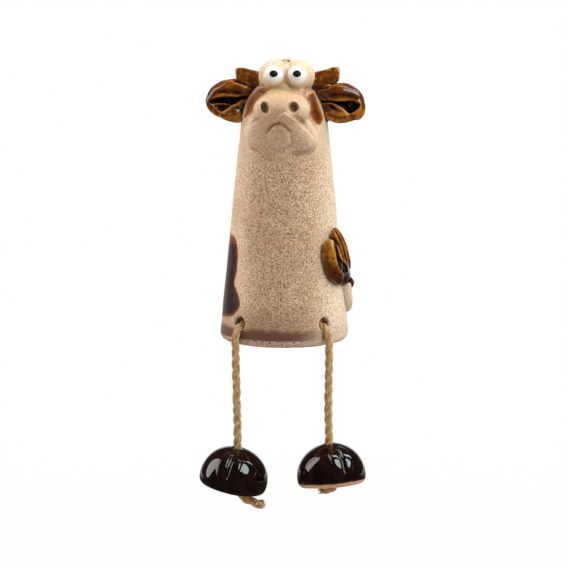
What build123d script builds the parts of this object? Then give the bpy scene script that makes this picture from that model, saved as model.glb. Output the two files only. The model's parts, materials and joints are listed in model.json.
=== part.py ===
from build123d import *
import os
from math import atan, cos, degrees, pi, radians, sin, tan

# A stoneware cow that sits on the edge of a shelf and lets its cord legs hang.
# Millimetres, +Z up. The base plane is z = 0 and its centre is the origin.
# The front of the cow is -Y. "left" is the side of -X and "right" that of +X,
# as they lie in a front view. Angles round the body run from the front to +X.

# Body: a hollow cone of clay with a rounded foot and a domed crown
foot_radius = 32.5
foot_round = 4.6
shoulder_height = 110.0
shoulder_radius = 21.3
crown_rise = 23.0
crown_fullness_share = 0.95
wall = 5.5
crown_wall = 9.0

# Cord and the holes in the wall that it hangs from
cord_diameter = 4.2
cord_hole_clearance = 1.1
cord_hole_lip = 1.2
cord_hole_height = 11.3
left_leg_angle = -41.0
right_leg_angle = 43.5
bend_radius_share = 0.45

# Routes of the two cords, from the knot inside the body to the knot in the hoof.
# The second point is the corner where the cord turns down outside its hole.
left_cord_route = [
    (-16.34, -18.79, 10.6),
    (-22.63, -26.04, 10.6),
    (-22.05, -26.15, -8.0),
    (-21.72, -26.02, -26.5),
    (-21.22, -25.98, -45.0),
    (-21.00, -25.90, -62.2),
]
right_cord_route = [
    (17.14, -18.06, 10.6),
    (23.75, -25.03, 10.6),
    (23.90, -25.10, -8.0),
    (23.40, -25.20, -27.0),
    (23.92, -25.10, -45.5),
    (24.05, -25.05, -60.0),
]

# Knots: two turns of the same cord drawn tight. The loose ends that show under
# the hooves have routes of their own, counted from the top of their knot.
knot_turn_radius = 2.9
knot_core_radius = 3.4
knot_turn_step = 3.0
knot_turns = 2
knot_tilt_angle = 14.0
loose_end_diameter = 3.8
left_end_route = [(0.0, 0.0, -6.5), (0.6, 0.2, -13.2), (12.3, 0.8, -17.4)]
right_end_route = [(1.0, 0.0, -6.5), (2.6, 0.0, -12.2), (-4.2, -0.4, -12.9)]

# Hooves: thick clay domes with a bore for the cord and a pocket for the knot
hoof_radius = 17.0
hoof_height = 21.0
hoof_belly_height = 5.0
hoof_sole_radius = 13.4
hoof_bore_clearance = 0.9
knot_pocket_clearance = 2.6
knot_pocket_depth = 9.0
knot_seat_clearance = 0.3
left_hoof_offset = (-1.6, 0.0)
left_hoof_lean_angle = 11.5
left_hoof_pitch_angle = 0.0
left_hoof_turn_angle = -11.0
right_hoof_offset = (0.8, 0.4)
right_hoof_lean_angle = -5.6
right_hoof_pitch_angle = -6.0
right_hoof_turn_angle = 17.0
cleft_length = 12.5
cleft_width = 1.1
cleft_depth = 1.3
cleft_angle = 24.0
cleft_mound_width = 7.0
cleft_mound_depth = 4.4
cleft_mound_rise = 0.8

# Head: everything on it is set a little towards the right of the body, and hangs
# from the height of the crown
head_shift = 1.5
eye_spacing = 11.8
mound_radius = 8.7
mound_forward = 5.5
mound_below_crown = 1.6
eyeball_radius = 5.6
eyeball_forward = 6.5
eyeball_rise = 0.3
pupil_width = 4.1
pupil_height = 3.3
pupil_rise = 0.45
pupil_look_angle = 18.0
forelock_length = 16.0
forelock_width = 9.0
forelock_thickness = 6.4
forelock_above_crown = 5.4
forelock_forward = 2.5

nose_width = 27.8
nose_height = 16.0
nose_depth = 22.6
nose_below_crown = 14.8
nose_beyond_shoulder = 2.4
nostril_spacing = 14.2
nostril_width = 4.0
nostril_height = 6.0
nostril_depth = 4.4

lip_half_length = 10.8
lip_half_width = 6.4
lip_half_depth = 8.4
lip_spread = 9.4
lip_below_crown = 27.6
lip_slope_angle = 56.0
lip_beyond_shoulder = 0.9
lip_bridge_width = 12.0
lip_bridge_height = 10.0
lip_bridge_below_crown = 20.8
chin_width = 12.6
chin_height = 13.6
chin_depth = 15.0
chin_below_crown = 30.6

horn_root_radius = 3.7
horn_tip_radius = 1.7
horn_reach = 11.2
horn_rise = 5.6
horn_root_sunk = 4.4
horn_back = 1.5
horn_bend_reach_share = 0.62
horn_bend_rise_share = 0.2

ear_shift = 0.95
ear_reach = 22.6
ear_spread = 21.4
ear_thickness = 11.0
ear_root_sunk = 4.3
ear_below_crown = 14.6
ear_back = 2.0
left_ear_droop_angle = 0.0
right_ear_droop_angle = 5.0
# An ear's upper roll, lower roll and back. The shares are of its reach, spread,
# reach, spread and thickness, for place along, place up, length, width and depth.
ear_lobe_shares = [
    (0.47, 0.25, 1.0, 0.56, 1.0),
    (0.52, -0.25, 0.80, 0.46, 0.85),
    (0.50, 0.0, 0.90, 0.85, 0.55),
]
ear_lobe_angles = [12.0, -24.0, 0.0]

# Tail: a roll of clay pressed round the foot, with a leaf of clay as its tuft. The
# heights of the roll are shares of the height of the tuft.
tail_radius = 3.4
tail_standout = 0.5
tail_root_radius = 4.4
tail_angles = [176.0, 152.0, 126.0, 104.0, 91.0, 87.0]
tail_height_shares = [0.90, 0.635, 0.41, 0.37, 0.505, 0.715]
tuft_length = 34.0
tuft_width = 18.5
tuft_thickness = 11.6
tuft_angle = 66.0
tuft_height = 41.5
tuft_lean_angle = 20.0
tuft_groove_width = 1.3
tuft_groove_depth = 1.2
tuft_groove_length = 17.0
tuft_groove_rise = 4.2
tuft_lane_shares = [-0.24, 0.0, 0.24]

overrun = 5.0
quarter_turn = 90.0
crown_height = shoulder_height + crown_rise
parts = []


def wall_radius(height):
    """Outside radius of the cone at a height."""
    return foot_radius + (shoulder_radius - foot_radius) * height / shoulder_height


def around(angle, radius, height):
    """Point at an angle round the body, counted from the front towards +X."""
    return Vector(radius * sin(radians(angle)), -radius * cos(radians(angle)), height)


def pebble(width, depth, height):
    """Smooth lump of clay, given by its three full sizes."""
    with BuildPart() as lump:
        Sphere(1)
        scale(by=(width / 2, depth / 2, height / 2))
    return lump.part


def finish(builder, name):
    """Name a finished piece and write it."""
    builder.part.label = name
    export_step(builder.part, f"parts/{name}.step")
    parts.append(builder.part)


def corner_radii(route):
    """For each corner of a route, the largest arc that its two runs allow."""
    points = [Vector(*point) for point in route]
    radii = []
    for before, corner, after in zip(points, points[1:], points[2:]):
        half_turn = radians((corner - before).get_angle(after - corner)) / 2
        shorter = min((corner - before).length, (after - corner).length)
        radii.append(bend_radius_share * shorter / tan(half_turn))
    return radii


os.makedirs("parts", exist_ok=True)

# Outside of the body, whole: the other lumps of clay are pressed on to it
cone_slope = (shoulder_radius - foot_radius, shoulder_height)
with BuildPart() as body_form:
    with BuildSketch(Plane.XZ) as body_outline:
        with BuildLine():
            Polyline((0, crown_height), (0, 0), (foot_radius, 0), (shoulder_radius, shoulder_height))
            Spline(
                (shoulder_radius, shoulder_height),
                (0, crown_height),
                tangents=(cone_slope, (-1, 0)),
                tangent_scalars=(crown_fullness_share, crown_fullness_share),
            )
        make_face()
        fillet(body_outline.vertices().group_by(Axis.Y)[0].sort_by(Axis.X)[-1], foot_round)
    revolve(axis=Axis.Z)

# Body shell: open at the base, with a hole for each cord
cord_hole_radius = cord_diameter / 2 + cord_hole_clearance
with BuildPart() as body_shell:
    add(body_form.part)
    with BuildSketch(Plane.XZ):
        with BuildLine():
            inner_shoulder = (shoulder_radius - wall, shoulder_height - wall)
            inner_crown = (0, crown_height - crown_wall)
            Polyline(inner_crown, (0, 0), (foot_radius - wall, 0), inner_shoulder)
            Spline(
                inner_shoulder,
                inner_crown,
                tangents=(cone_slope, (-1, 0)),
                tangent_scalars=(crown_fullness_share, crown_fullness_share),
            )
        make_face()
    revolve(axis=Axis.Z, mode=Mode.SUBTRACT)
    for leg_angle in (left_leg_angle, right_leg_angle):
        mouth = around(leg_angle, wall_radius(cord_hole_height), cord_hole_height)
        outward = around(leg_angle, 1, 0)
        with BuildSketch(Plane(origin=mouth - outward * (wall + overrun), z_dir=outward)):
            Circle(cord_hole_radius)
        extrude(amount=wall + 2 * overrun, mode=Mode.SUBTRACT)
        rim = body_shell.edges().sort_by_distance(mouth + outward * cord_hole_radius)[0]
        fillet(rim, cord_hole_lip)
finish(body_shell, "body_shell")

# Eyeballs, sunk in the mound of clay round them, with a bead of glaze as each pupil
mound_height = crown_height - mound_below_crown
eye_places = {"left": head_shift - eye_spacing / 2, "right": head_shift + eye_spacing / 2}
eyeballs = {}
for side, eye_x in eye_places.items():
    eye = Vector(eye_x, -mound_forward - eyeball_forward, mound_height + eyeball_rise)
    with BuildPart() as eyeball:
        with Locations(eye):
            Sphere(eyeball_radius)
        add(body_form.part, mode=Mode.SUBTRACT)
    finish(eyeball, f"{side}_eyeball")
    eyeballs[side] = eyeball.part
    look = Vector(0, -cos(radians(pupil_look_angle)), sin(radians(pupil_look_angle)))
    with BuildPart() as pupil:
        with Locations(Plane(origin=eye + look * eyeball_radius, x_dir=(1, 0, 0), z_dir=look)):
            add(pebble(pupil_width, pupil_height, 2 * pupil_rise))
        add(eyeball.part, mode=Mode.SUBTRACT)
    finish(pupil, f"{side}_pupil")

with BuildPart() as eye_mound:
    for eye_x in eye_places.values():
        with Locations((eye_x, -mound_forward, mound_height)):
            Sphere(mound_radius)
    add(body_form.part, mode=Mode.SUBTRACT)
    for eyeball_part in eyeballs.values():
        add(eyeball_part, mode=Mode.SUBTRACT)
finish(eye_mound, "eye_mound")

with BuildPart() as forelock:
    with Locations((head_shift, -forelock_forward, crown_height + forelock_above_crown)):
        add(pebble(forelock_length, forelock_width, forelock_thickness))
    add(body_form.part, mode=Mode.SUBTRACT)
    add(eye_mound.part, mode=Mode.SUBTRACT)
finish(forelock, "forelock")

# Muzzle: the nose pad, the lip that droops on both sides of it, and the chin
nose_y = -shoulder_radius - nose_beyond_shoulder
nose_z = crown_height - nose_below_crown
with BuildPart() as nose_blank:
    with Locations((0, nose_y, nose_z)):
        add(pebble(nose_width, nose_depth, nose_height))
    add(body_form.part, mode=Mode.SUBTRACT)
    add(eye_mound.part, mode=Mode.SUBTRACT)
    for eyeball_part in eyeballs.values():
        add(eyeball_part, mode=Mode.SUBTRACT)

with BuildPart() as nose_pad:
    add(nose_blank.part)
    with Locations((-nostril_spacing / 2, nose_y - nose_depth / 2, nose_z)):
        add(pebble(nostril_width, 2 * nostril_depth, nostril_height), mode=Mode.SUBTRACT)
    with Locations((nostril_spacing / 2, nose_y - nose_depth / 2, nose_z)):
        add(pebble(nostril_width, 2 * nostril_depth, nostril_height), mode=Mode.SUBTRACT)
finish(nose_pad, "nose_pad")

lip_y = -shoulder_radius - lip_beyond_shoulder
with BuildPart() as upper_lip:
    for side in (-1, 1):
        fall = Vector(side * cos(radians(lip_slope_angle)), 0, -sin(radians(lip_slope_angle)))
        middle = (side * lip_spread, lip_y, crown_height - lip_below_crown)
        with Locations(Plane(origin=middle, x_dir=fall, z_dir=(0, -1, 0))):
            add(pebble(2 * lip_half_length, 2 * lip_half_width, 2 * lip_half_depth))
    with Locations((0, lip_y, crown_height - lip_bridge_below_crown)):
        add(pebble(lip_bridge_width, 2 * lip_half_depth, lip_bridge_height))
    add(body_form.part, mode=Mode.SUBTRACT)
    add(nose_blank.part, mode=Mode.SUBTRACT)
finish(upper_lip, "upper_lip")

with BuildPart() as chin:
    with Locations((0, -shoulder_radius, crown_height - chin_below_crown)):
        add(pebble(chin_width, chin_depth, chin_height))
    add(body_form.part, mode=Mode.SUBTRACT)
    add(upper_lip.part, mode=Mode.SUBTRACT)
    add(nose_blank.part, mode=Mode.SUBTRACT)
finish(chin, "chin")


# Horns and ears are made for the right side, and mirrored for the left
def make_horn():
    """Short roll of clay that turns up to a blunt tip."""
    root_out = eye_spacing / 2 + mound_radius - horn_root_sunk
    root = Vector(root_out, horn_back - mound_forward, mound_height)
    bend = Vector(horn_reach * horn_bend_reach_share, 0, horn_rise * horn_bend_rise_share)
    middle = root + bend
    tip = root + Vector(horn_reach, 0, horn_rise)
    with BuildPart() as horn:
        with BuildSketch(Plane(origin=root, z_dir=(1, 0, 0))):
            Circle(horn_root_radius)
        with BuildSketch(Plane(origin=middle, z_dir=tip - root)):
            Circle(horn_root_radius)
        with BuildSketch(Plane(origin=tip, z_dir=tip - middle)):
            Circle(horn_tip_radius)
        loft()
        fillet(horn.faces().sort_by(Axis.Z)[-1].edges(), horn_tip_radius / 2)
    return horn.part


def make_ear(droop):
    """Folded leaf of clay: a thick upper roll, a lower roll and the back behind the fold."""
    root_z = crown_height - ear_below_crown
    root = Vector(shoulder_radius - ear_root_sunk, ear_back - ear_thickness / 2, root_z)
    out = Vector(cos(radians(droop)), 0, -sin(radians(droop)))
    flat = Plane(origin=root, x_dir=out, z_dir=(0, -1, 0))
    with BuildPart() as ear:
        for (along, up, length, width, depth), lobe_angle in zip(ear_lobe_shares, ear_lobe_angles):
            middle = flat.from_local_coords((along * ear_reach, up * ear_spread, 0))
            if lobe_angle == 0:
                middle = middle + Vector(0, ear_thickness * (1 - depth) / 2, 0)
            run = out.rotate(Axis.Y, lobe_angle)
            with Locations(Plane(origin=middle, x_dir=run, z_dir=(0, -1, 0))):
                add(pebble(length * ear_reach, width * ear_spread, depth * ear_thickness))
    return ear.part


for side, droop in (("left", left_ear_droop_angle), ("right", right_ear_droop_angle)):
    horn_blank = make_horn()
    ear_blank = make_ear(droop)
    if side == "left":
        horn_blank = mirror(horn_blank, about=Plane.YZ, mode=Mode.PRIVATE)
        ear_blank = mirror(ear_blank, about=Plane.YZ, mode=Mode.PRIVATE)
    with BuildPart() as horn:
        with Locations((head_shift, 0, 0)):
            add(horn_blank)
        add(body_form.part, mode=Mode.SUBTRACT)
        add(eye_mound.part, mode=Mode.SUBTRACT)
    finish(horn, f"{side}_horn")
    with BuildPart() as ear:
        with Locations((ear_shift, 0, 0)):
            add(ear_blank)
        add(body_form.part, mode=Mode.SUBTRACT)
        add(horn.part, mode=Mode.SUBTRACT)
    finish(ear, f"{side}_ear")

# Tail, from its root at the back down round the foot and up under the tuft
tail_route = []
for tail_angle, height_share in zip(tail_angles, tail_height_shares):
    height = height_share * tuft_height
    tail_route.append(around(tail_angle, wall_radius(height) + tail_standout, height))
with BuildPart() as tail:
    with BuildLine() as tail_line:
        FilletPolyline(*tail_route, radius=corner_radii(tail_route))
    with BuildSketch(Plane(origin=tail_line.line @ 0, z_dir=tail_line.line % 0)):
        Circle(tail_radius)
    sweep()
    with Locations(tail_route[0]):
        Sphere(tail_root_radius)
    with Locations(tail_route[-1]):
        Sphere(tail_radius)
    add(body_form.part, mode=Mode.SUBTRACT)
finish(tail, "tail")

tuft_out = around(tuft_angle, 1, 0)
tuft_side = around(tuft_angle + quarter_turn, 1, 0)
tuft_up = Vector(0, 0, cos(radians(tuft_lean_angle))) - tuft_side * sin(radians(tuft_lean_angle))
tuft_middle = around(tuft_angle, wall_radius(tuft_height), tuft_height)
with BuildPart() as tuft_blank:
    with BuildSketch(Plane.XZ):
        with BuildLine():
            ThreePointArc((0, -tuft_length / 2), (tuft_width / 2, 0), (0, tuft_length / 2))
            Line((0, tuft_length / 2), (0, -tuft_length / 2))
        make_face()
    revolve(axis=Axis.Z)
    scale(by=(1, tuft_thickness / tuft_width, 1))
with BuildPart() as tail_tuft:
    tuft_plane = Plane(origin=tuft_middle, x_dir=tuft_up.cross(tuft_out), z_dir=tuft_up)
    with Locations(tuft_plane):
        add(tuft_blank.part)
    groove = pebble(tuft_groove_width, 2 * tuft_groove_depth, tuft_groove_length)
    for lane in tuft_lane_shares:
        lane_middle = tuft_plane.from_local_coords((lane * tuft_width, 0, tuft_groove_rise))
        lane_middle = lane_middle + tuft_out * tuft_thickness / 2
        with Locations(Plane(origin=lane_middle, x_dir=tuft_plane.x_dir, z_dir=tuft_up)):
            add(groove, mode=Mode.SUBTRACT)
    add(body_form.part, mode=Mode.SUBTRACT)
    add(tail.part, mode=Mode.SUBTRACT)
finish(tail_tuft, "tail_tuft")


# Legs: for each cord, its stopper knot, the bend in the hole, the hanging run,
# the knot under the hoof and the hoof
def make_knot(seat, inward):
    """Overhand knot that starts at a seat and grows along a direction."""
    with BuildPart() as knot:
        for turn in range(knot_turns):
            ring = Plane(origin=seat + inward * (turn + 1) * knot_turn_step, z_dir=inward)
            with Locations(ring.rotated((knot_tilt_angle * (-1) ** turn, 0, 0))):
                Torus(knot_turn_radius, cord_diameter / 2)
        core = seat + inward * knot_turn_step * (knot_turns + 1) / 2
        with Locations(Plane(origin=core, z_dir=inward)):
            Sphere(knot_core_radius)
        with BuildSketch(Plane(origin=seat, z_dir=inward)):
            Circle(cord_diameter / 2)
        extrude(amount=knot_turn_step)
    return knot.part


def make_hoof():
    """Upright hoof before it is bored: a dome with a cleft in front."""
    crest_height = hoof_height - hoof_belly_height
    across = hoof_radius * cos(radians(cleft_angle))
    up = hoof_belly_height + crest_height * sin(radians(cleft_angle))
    slope = degrees(atan(tan(radians(cleft_angle)) * hoof_radius / crest_height))
    facing = Vector(0, -cos(radians(slope)), sin(radians(slope)))
    brow = Vector(0, -across, up)
    mound = brow - facing * (cleft_mound_depth / 2 - cleft_mound_rise)
    with BuildPart() as hoof:
        with BuildSketch(Plane.XZ):
            with BuildLine():
                dome = EllipticalCenterArc(
                    (0, hoof_belly_height),
                    hoof_radius,
                    crest_height,
                    arc_size=quarter_turn,
                )
                edge = Bezier((hoof_sole_radius, 0), (hoof_radius, 0), dome @ 0)
                Polyline(dome @ 1, (0, 0), edge @ 0)
            make_face()
        revolve(axis=Axis.Z)
        with Locations(Location(mound, (-slope, 0, 0))):
            add(pebble(cleft_mound_width, cleft_mound_depth, cleft_length))
        with Locations(Location(brow + facing * cleft_mound_rise, (-slope, 0, 0))):
            add(pebble(cleft_width, 2 * cleft_depth, cleft_length), mode=Mode.SUBTRACT)
    return hoof.part


hoof_blank = make_hoof()
hoof_bore_radius = cord_diameter / 2 + hoof_bore_clearance
knot_pocket_radius = knot_turn_radius + cord_diameter / 2 + knot_pocket_clearance
knot_top = knot_turn_step - knot_turn_radius * sin(radians(knot_tilt_angle)) - cord_diameter / 2
left_hoof_angles = (left_hoof_lean_angle, left_hoof_pitch_angle, left_hoof_turn_angle)
right_hoof_angles = (right_hoof_lean_angle, right_hoof_pitch_angle, right_hoof_turn_angle)
for side, route, end_route, offset, (lean, pitch, turn) in (
    ("left", left_cord_route, left_end_route, left_hoof_offset, left_hoof_angles),
    ("right", right_cord_route, right_end_route, right_hoof_offset, right_hoof_angles),
):
    radii = corner_radii(route)
    points = [Vector(*point) for point in route]
    print(side, "cord radii", [round(radius, 1) for radius in radii])

    # The bend ends where its arc meets the hanging run
    first_run = (points[1] - points[0]).normalized()
    hang = (points[2] - points[1]).normalized()
    setback = radii[0] * tan(radians(first_run.get_angle(hang)) / 2)
    bend_end = points[1] + hang * setback
    with BuildPart() as cord_bend:
        with BuildLine() as bend_line:
            inner = Line(points[0], points[1] - first_run * setback)
            TangentArc(inner @ 1, bend_end, tangent=inner % 1)
        with BuildSketch(Plane(origin=points[0], z_dir=inner % 0)):
            Circle(cord_diameter / 2)
        sweep()
    finish(cord_bend, f"{side}_cord_bend")

    with BuildPart() as leg_cord:
        with BuildLine() as leg_line:
            FilletPolyline(bend_end, *points[2:], radius=radii[1:])
        with BuildSketch(Plane(origin=bend_end, z_dir=hang)):
            Circle(cord_diameter / 2)
        sweep()
    finish(leg_cord, f"{side}_leg_cord")

    section = pi * cord_diameter**2 / 4
    for piece, route_line in ((cord_bend, bend_line), (leg_cord, leg_line)):
        length = sum(edge.length for edge in route_line.edges())
        share = piece.part.volume / (section * length)
        print(piece.part.label, "length", round(length, 2), "volume share", round(share, 4))

    with BuildPart() as inner_knot:
        add(make_knot(points[0], -first_run))
    finish(inner_knot, f"{side}_inner_knot")

    down = (points[-1] - points[-2]).normalized()
    end_points = [points[-1] + Vector(*point) for point in end_route]
    with BuildPart() as hoof_knot:
        add(make_knot(points[-1], down))
        with BuildLine() as end_line:
            FilletPolyline(*end_points, radius=corner_radii(end_points))
        with BuildSketch(Plane(origin=end_points[0], z_dir=end_line.line % 0)):
            Circle(loose_end_diameter / 2)
        sweep()
    finish(hoof_knot, f"{side}_hoof_knot")

    # The hoof stands on its own axis, and its bore and pocket follow the cord
    hoof_up = Vector(sin(radians(lean)), -sin(radians(pitch)), cos(radians(lean))).normalized()
    pocket_roof = points[-1] - down * (knot_seat_clearance - knot_top)
    sole = pocket_roof + Vector(*offset, 0) - hoof_up * knot_pocket_depth
    front = Vector(sin(radians(turn)), -cos(radians(turn)), 0)
    with BuildPart() as hoof:
        with Locations(Plane(origin=sole, x_dir=hoof_up.cross(front), z_dir=hoof_up)):
            add(hoof_blank)
        with BuildSketch(Plane(origin=pocket_roof, z_dir=down)):
            Circle(knot_pocket_radius)
        extrude(amount=knot_pocket_depth + overrun, mode=Mode.SUBTRACT)
        with BuildSketch(Plane(origin=pocket_roof + down * overrun, z_dir=-down)):
            Circle(hoof_bore_radius)
        extrude(amount=hoof_height + overrun, mode=Mode.SUBTRACT)
    finish(hoof, f"{side}_hoof")

print(len(parts), "pieces")
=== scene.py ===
# %% [markdown]
# A stoneware cow that sits on a shelf edge and lets two jute legs hang.
#
# The real figure is hand-built: a hollow cone of clay, lumps pressed on to it for the head,
# a roll for the tail, and two glazed clay hooves strung on cord. The fixed frame gives every
# piece its real place. Here each piece gets its modelled surface, its glaze and its wear.

import json
import math
import random

import bpy
import numpy as np
from mathutils import Matrix, Vector, noise
from mathutils.bvhtree import BVHTree

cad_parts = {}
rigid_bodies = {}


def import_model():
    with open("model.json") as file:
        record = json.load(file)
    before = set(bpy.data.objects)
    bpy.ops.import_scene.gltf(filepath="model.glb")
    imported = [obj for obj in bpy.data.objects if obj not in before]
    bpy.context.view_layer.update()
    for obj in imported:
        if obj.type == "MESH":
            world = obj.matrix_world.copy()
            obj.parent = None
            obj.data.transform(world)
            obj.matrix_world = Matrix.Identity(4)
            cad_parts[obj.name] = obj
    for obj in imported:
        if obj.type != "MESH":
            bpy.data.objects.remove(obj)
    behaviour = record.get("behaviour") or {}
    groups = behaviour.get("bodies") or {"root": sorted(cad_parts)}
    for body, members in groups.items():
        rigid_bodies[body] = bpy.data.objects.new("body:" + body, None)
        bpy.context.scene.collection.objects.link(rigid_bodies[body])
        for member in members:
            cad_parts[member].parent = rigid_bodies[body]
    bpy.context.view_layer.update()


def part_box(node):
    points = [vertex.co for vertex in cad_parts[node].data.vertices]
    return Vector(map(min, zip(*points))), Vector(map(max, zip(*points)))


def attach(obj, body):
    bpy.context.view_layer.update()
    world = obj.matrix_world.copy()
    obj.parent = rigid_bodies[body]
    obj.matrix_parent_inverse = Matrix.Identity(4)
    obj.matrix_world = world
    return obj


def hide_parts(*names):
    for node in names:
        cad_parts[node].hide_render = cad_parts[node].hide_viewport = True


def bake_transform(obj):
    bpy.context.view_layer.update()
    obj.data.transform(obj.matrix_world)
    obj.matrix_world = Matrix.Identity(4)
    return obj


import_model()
MM = 0.001

# %% [markdown]
# The camera comes first, because what is placed from the photograph is placed through it. It
# stands a little to the right of the cow's front and a little above it, far enough away that
# the cone's sides stay nearly parallel. Half a millimetre at the body's axis is one pixel of
# a picture that is 567 pixels wide.

# %% Camera
view_azimuth, view_elevation = math.radians(4.0), math.radians(8.0)
view_distance = 1.2
view_target = Vector((-0.35, 0.0, 28.0)) * MM
pixel_size = 0.5 * MM
picture_width = 567
picture_middle = picture_width / 2
sensor_width = 36.0


def direction_to(azimuth, elevation):
    """The direction of two angles: from the front towards +X, and upwards."""
    flat = math.cos(elevation)
    return Vector((math.sin(azimuth) * flat, -math.cos(azimuth) * flat, math.sin(elevation)))


view_back = direction_to(view_azimuth, view_elevation)
view_right = Vector((math.cos(view_azimuth), math.sin(view_azimuth), 0.0))
view_up = view_back.cross(view_right)
view_point = view_target + view_back * view_distance

bpy.ops.object.select_all(action="DESELECT")
bpy.ops.object.camera_add(location=view_point, rotation=view_back.to_track_quat("Z", "Y").to_euler())
camera = bpy.context.object
camera.name = "camera"
camera.data.sensor_width = sensor_width
camera.data.lens = sensor_width * view_distance / (picture_width * pixel_size)
bpy.context.scene.camera = camera
print("lens", round(camera.data.lens, 1), "mm")

# %% [markdown]
# Working by hand means one object is picked at a time. These small helpers pick an object,
# apply its place and its modifiers, and shape a mesh by rings, lumps and strokes of a tool.

# %% Helpers: picking, turning and cutting


def pick(*objects):
    """Select these objects alone, the first of them active. With none, deselect everything."""
    bpy.ops.object.select_all(action="DESELECT")
    for obj in objects:
        obj.select_set(True)
    if objects:
        bpy.context.view_layer.objects.active = objects[0]


def take(name):
    """Name the object that was just added, with its place put into its mesh."""
    obj = bpy.context.object
    obj.name = obj.data.name = name
    pick(obj)
    bpy.ops.object.transform_apply(location=True, rotation=True, scale=True)
    return obj


def apply_modifiers(obj):
    """Apply every modifier in order."""
    pick(obj)
    for modifier in list(obj.modifiers):
        bpy.ops.object.modifier_apply(modifier=modifier.name)


def shade(obj):
    """Shade a mesh smooth."""
    pick(obj)
    bpy.ops.object.shade_smooth()


def join(name, objects):
    """Join several objects into one."""
    pick(*objects)
    bpy.ops.object.join()
    objects[0].name = objects[0].data.name = name
    return objects[0]


def open_mesh(obj):
    """Start to edit a mesh, with all of it selected."""
    pick(obj)
    bpy.ops.object.mode_set(mode="EDIT")
    bpy.ops.mesh.select_all(action="SELECT")


def face_outwards(obj):
    """Turn the faces of a closed form outwards."""
    open_mesh(obj)
    bpy.ops.mesh.normals_make_consistent(inside=False)
    bpy.ops.object.mode_set(mode="OBJECT")


def lump(name, centre, size, turn=(0, 0, 0), sides=40):
    """A ball of clay squeezed to three full sizes in mm, turned by degrees."""
    pick()
    bpy.ops.mesh.primitive_uv_sphere_add(
        segments=sides, ring_count=sides // 2, radius=0.5,
        location=Vector(centre) * MM, rotation=[math.radians(angle) for angle in turn],
    )
    bpy.context.object.scale = Vector(size) * MM
    return take(name)


def stack_rings(name, rings, sides):
    """A turned form: a disc extruded upwards through rings of (height, radius) in mm."""
    height, radius = rings[0]
    pick()
    bpy.ops.mesh.primitive_circle_add(
        vertices=sides, radius=radius * MM, fill_type="NGON", location=(0, 0, height * MM)
    )
    obj = take(name)
    open_mesh(obj)
    for (low, inner), (high, outer) in zip(rings, rings[1:]):
        bpy.ops.mesh.extrude_region_move(TRANSFORM_OT_translate={"value": (0, 0, (high - low) * MM)})
        size = outer / inner
        bpy.ops.transform.resize(value=(size, size, 1), center_override=(0, 0, high * MM))
    bpy.ops.object.mode_set(mode="OBJECT")
    face_outwards(obj)
    return obj


def aim(obj, place, axis):
    """Move a form made at the origin to a place in mm, its z along an axis."""
    turn = axis.to_track_quat("Z", "Y").to_matrix().to_4x4()
    obj.data.transform(Matrix.Translation(place * MM) @ turn)


def set_up(obj, place, across, back, up):
    """Move a form made at the origin to a place in mm, its three axes along directions."""
    turn = Matrix(((*across, 0), (*back, 0), (*up, 0), (0, 0, 0, 1))).transposed()
    obj.data.transform(Matrix.Translation(place * MM) @ turn)


def cut(obj, cutter):
    """Take one closed form away from another."""
    modifier = obj.modifiers.new("cut", "BOOLEAN")
    modifier.operation = "DIFFERENCE"
    modifier.solver = "MANIFOLD"
    modifier.object = cutter
    apply_modifiers(obj)
    bpy.data.objects.remove(cutter)


def rub(obj, factor, repeats, area=""):
    """Rub a surface smooth, all over or in one vertex group."""
    modifier = obj.modifiers.new("rub", "SMOOTH")
    modifier.factor = factor
    modifier.iterations = repeats
    modifier.vertex_group = area
    apply_modifiers(obj)


def knead(obj, voxel, repeats):
    """Melt overlapping lumps into one skin of even faces, then rub it smooth."""
    modifier = obj.modifiers.new("melt", "REMESH")
    modifier.mode = "VOXEL"
    modifier.voxel_size = voxel * MM
    modifier.use_smooth_shade = True
    rub(obj, 0.5, repeats)


# %% Helpers: the mesh as arrays


def read(layer, key):
    """Three numbers for each vertex, as an array with a row for each."""
    values = np.empty(len(layer) * 3)
    layer.foreach_get(key, values)
    return values.reshape(-1, 3)


def places(obj):
    """Vertex positions of an object, in mm."""
    return read(obj.data.vertices, "co") / MM


def normals(obj):
    """Vertex normals of an object."""
    return read(obj.data.vertex_normals, "vector")


def move_to(obj, positions):
    """Write vertex positions in mm back to an object."""
    obj.data.vertices.foreach_set("co", (positions * MM).ravel())
    obj.data.update()


def store(obj, name, values):
    """Keep one number per vertex, for a material to read."""
    attribute = obj.data.attributes.new(name, "FLOAT", "POINT")
    attribute.data.foreach_set("value", np.asarray(values, dtype=np.float32))


def unit(vector):
    """A direction of length one."""
    return vector / np.linalg.norm(vector)


def run_distance(points, start, end):
    """Distance from each point to a straight run."""
    run = end - start
    along = np.clip((points - start) @ run / max(run @ run, 1e-9), 0, 1)
    return np.linalg.norm(points - (start + along[:, None] * run), axis=1)


def eased(path, steps=6):
    """A path with its corners rounded by a curve through its points."""
    path = np.asarray(path, dtype=float)
    if len(path) < 3:
        return path
    padded = np.vstack([2 * path[0] - path[1], path, 2 * path[-1] - path[-2]])
    out = []
    for i in range(len(path) - 1):
        p0, p1, p2, p3 = padded[i : i + 4]
        for t in np.linspace(0, 1, steps, endpoint=False):
            out.append(0.5 * (
                2 * p1 + (p2 - p0) * t + (2 * p0 - 5 * p1 + 4 * p2 - p3) * t**2
                + (3 * p1 - p0 - 3 * p2 + p3) * t**3
            ))
    return np.array([*out, path[-1]])


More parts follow.
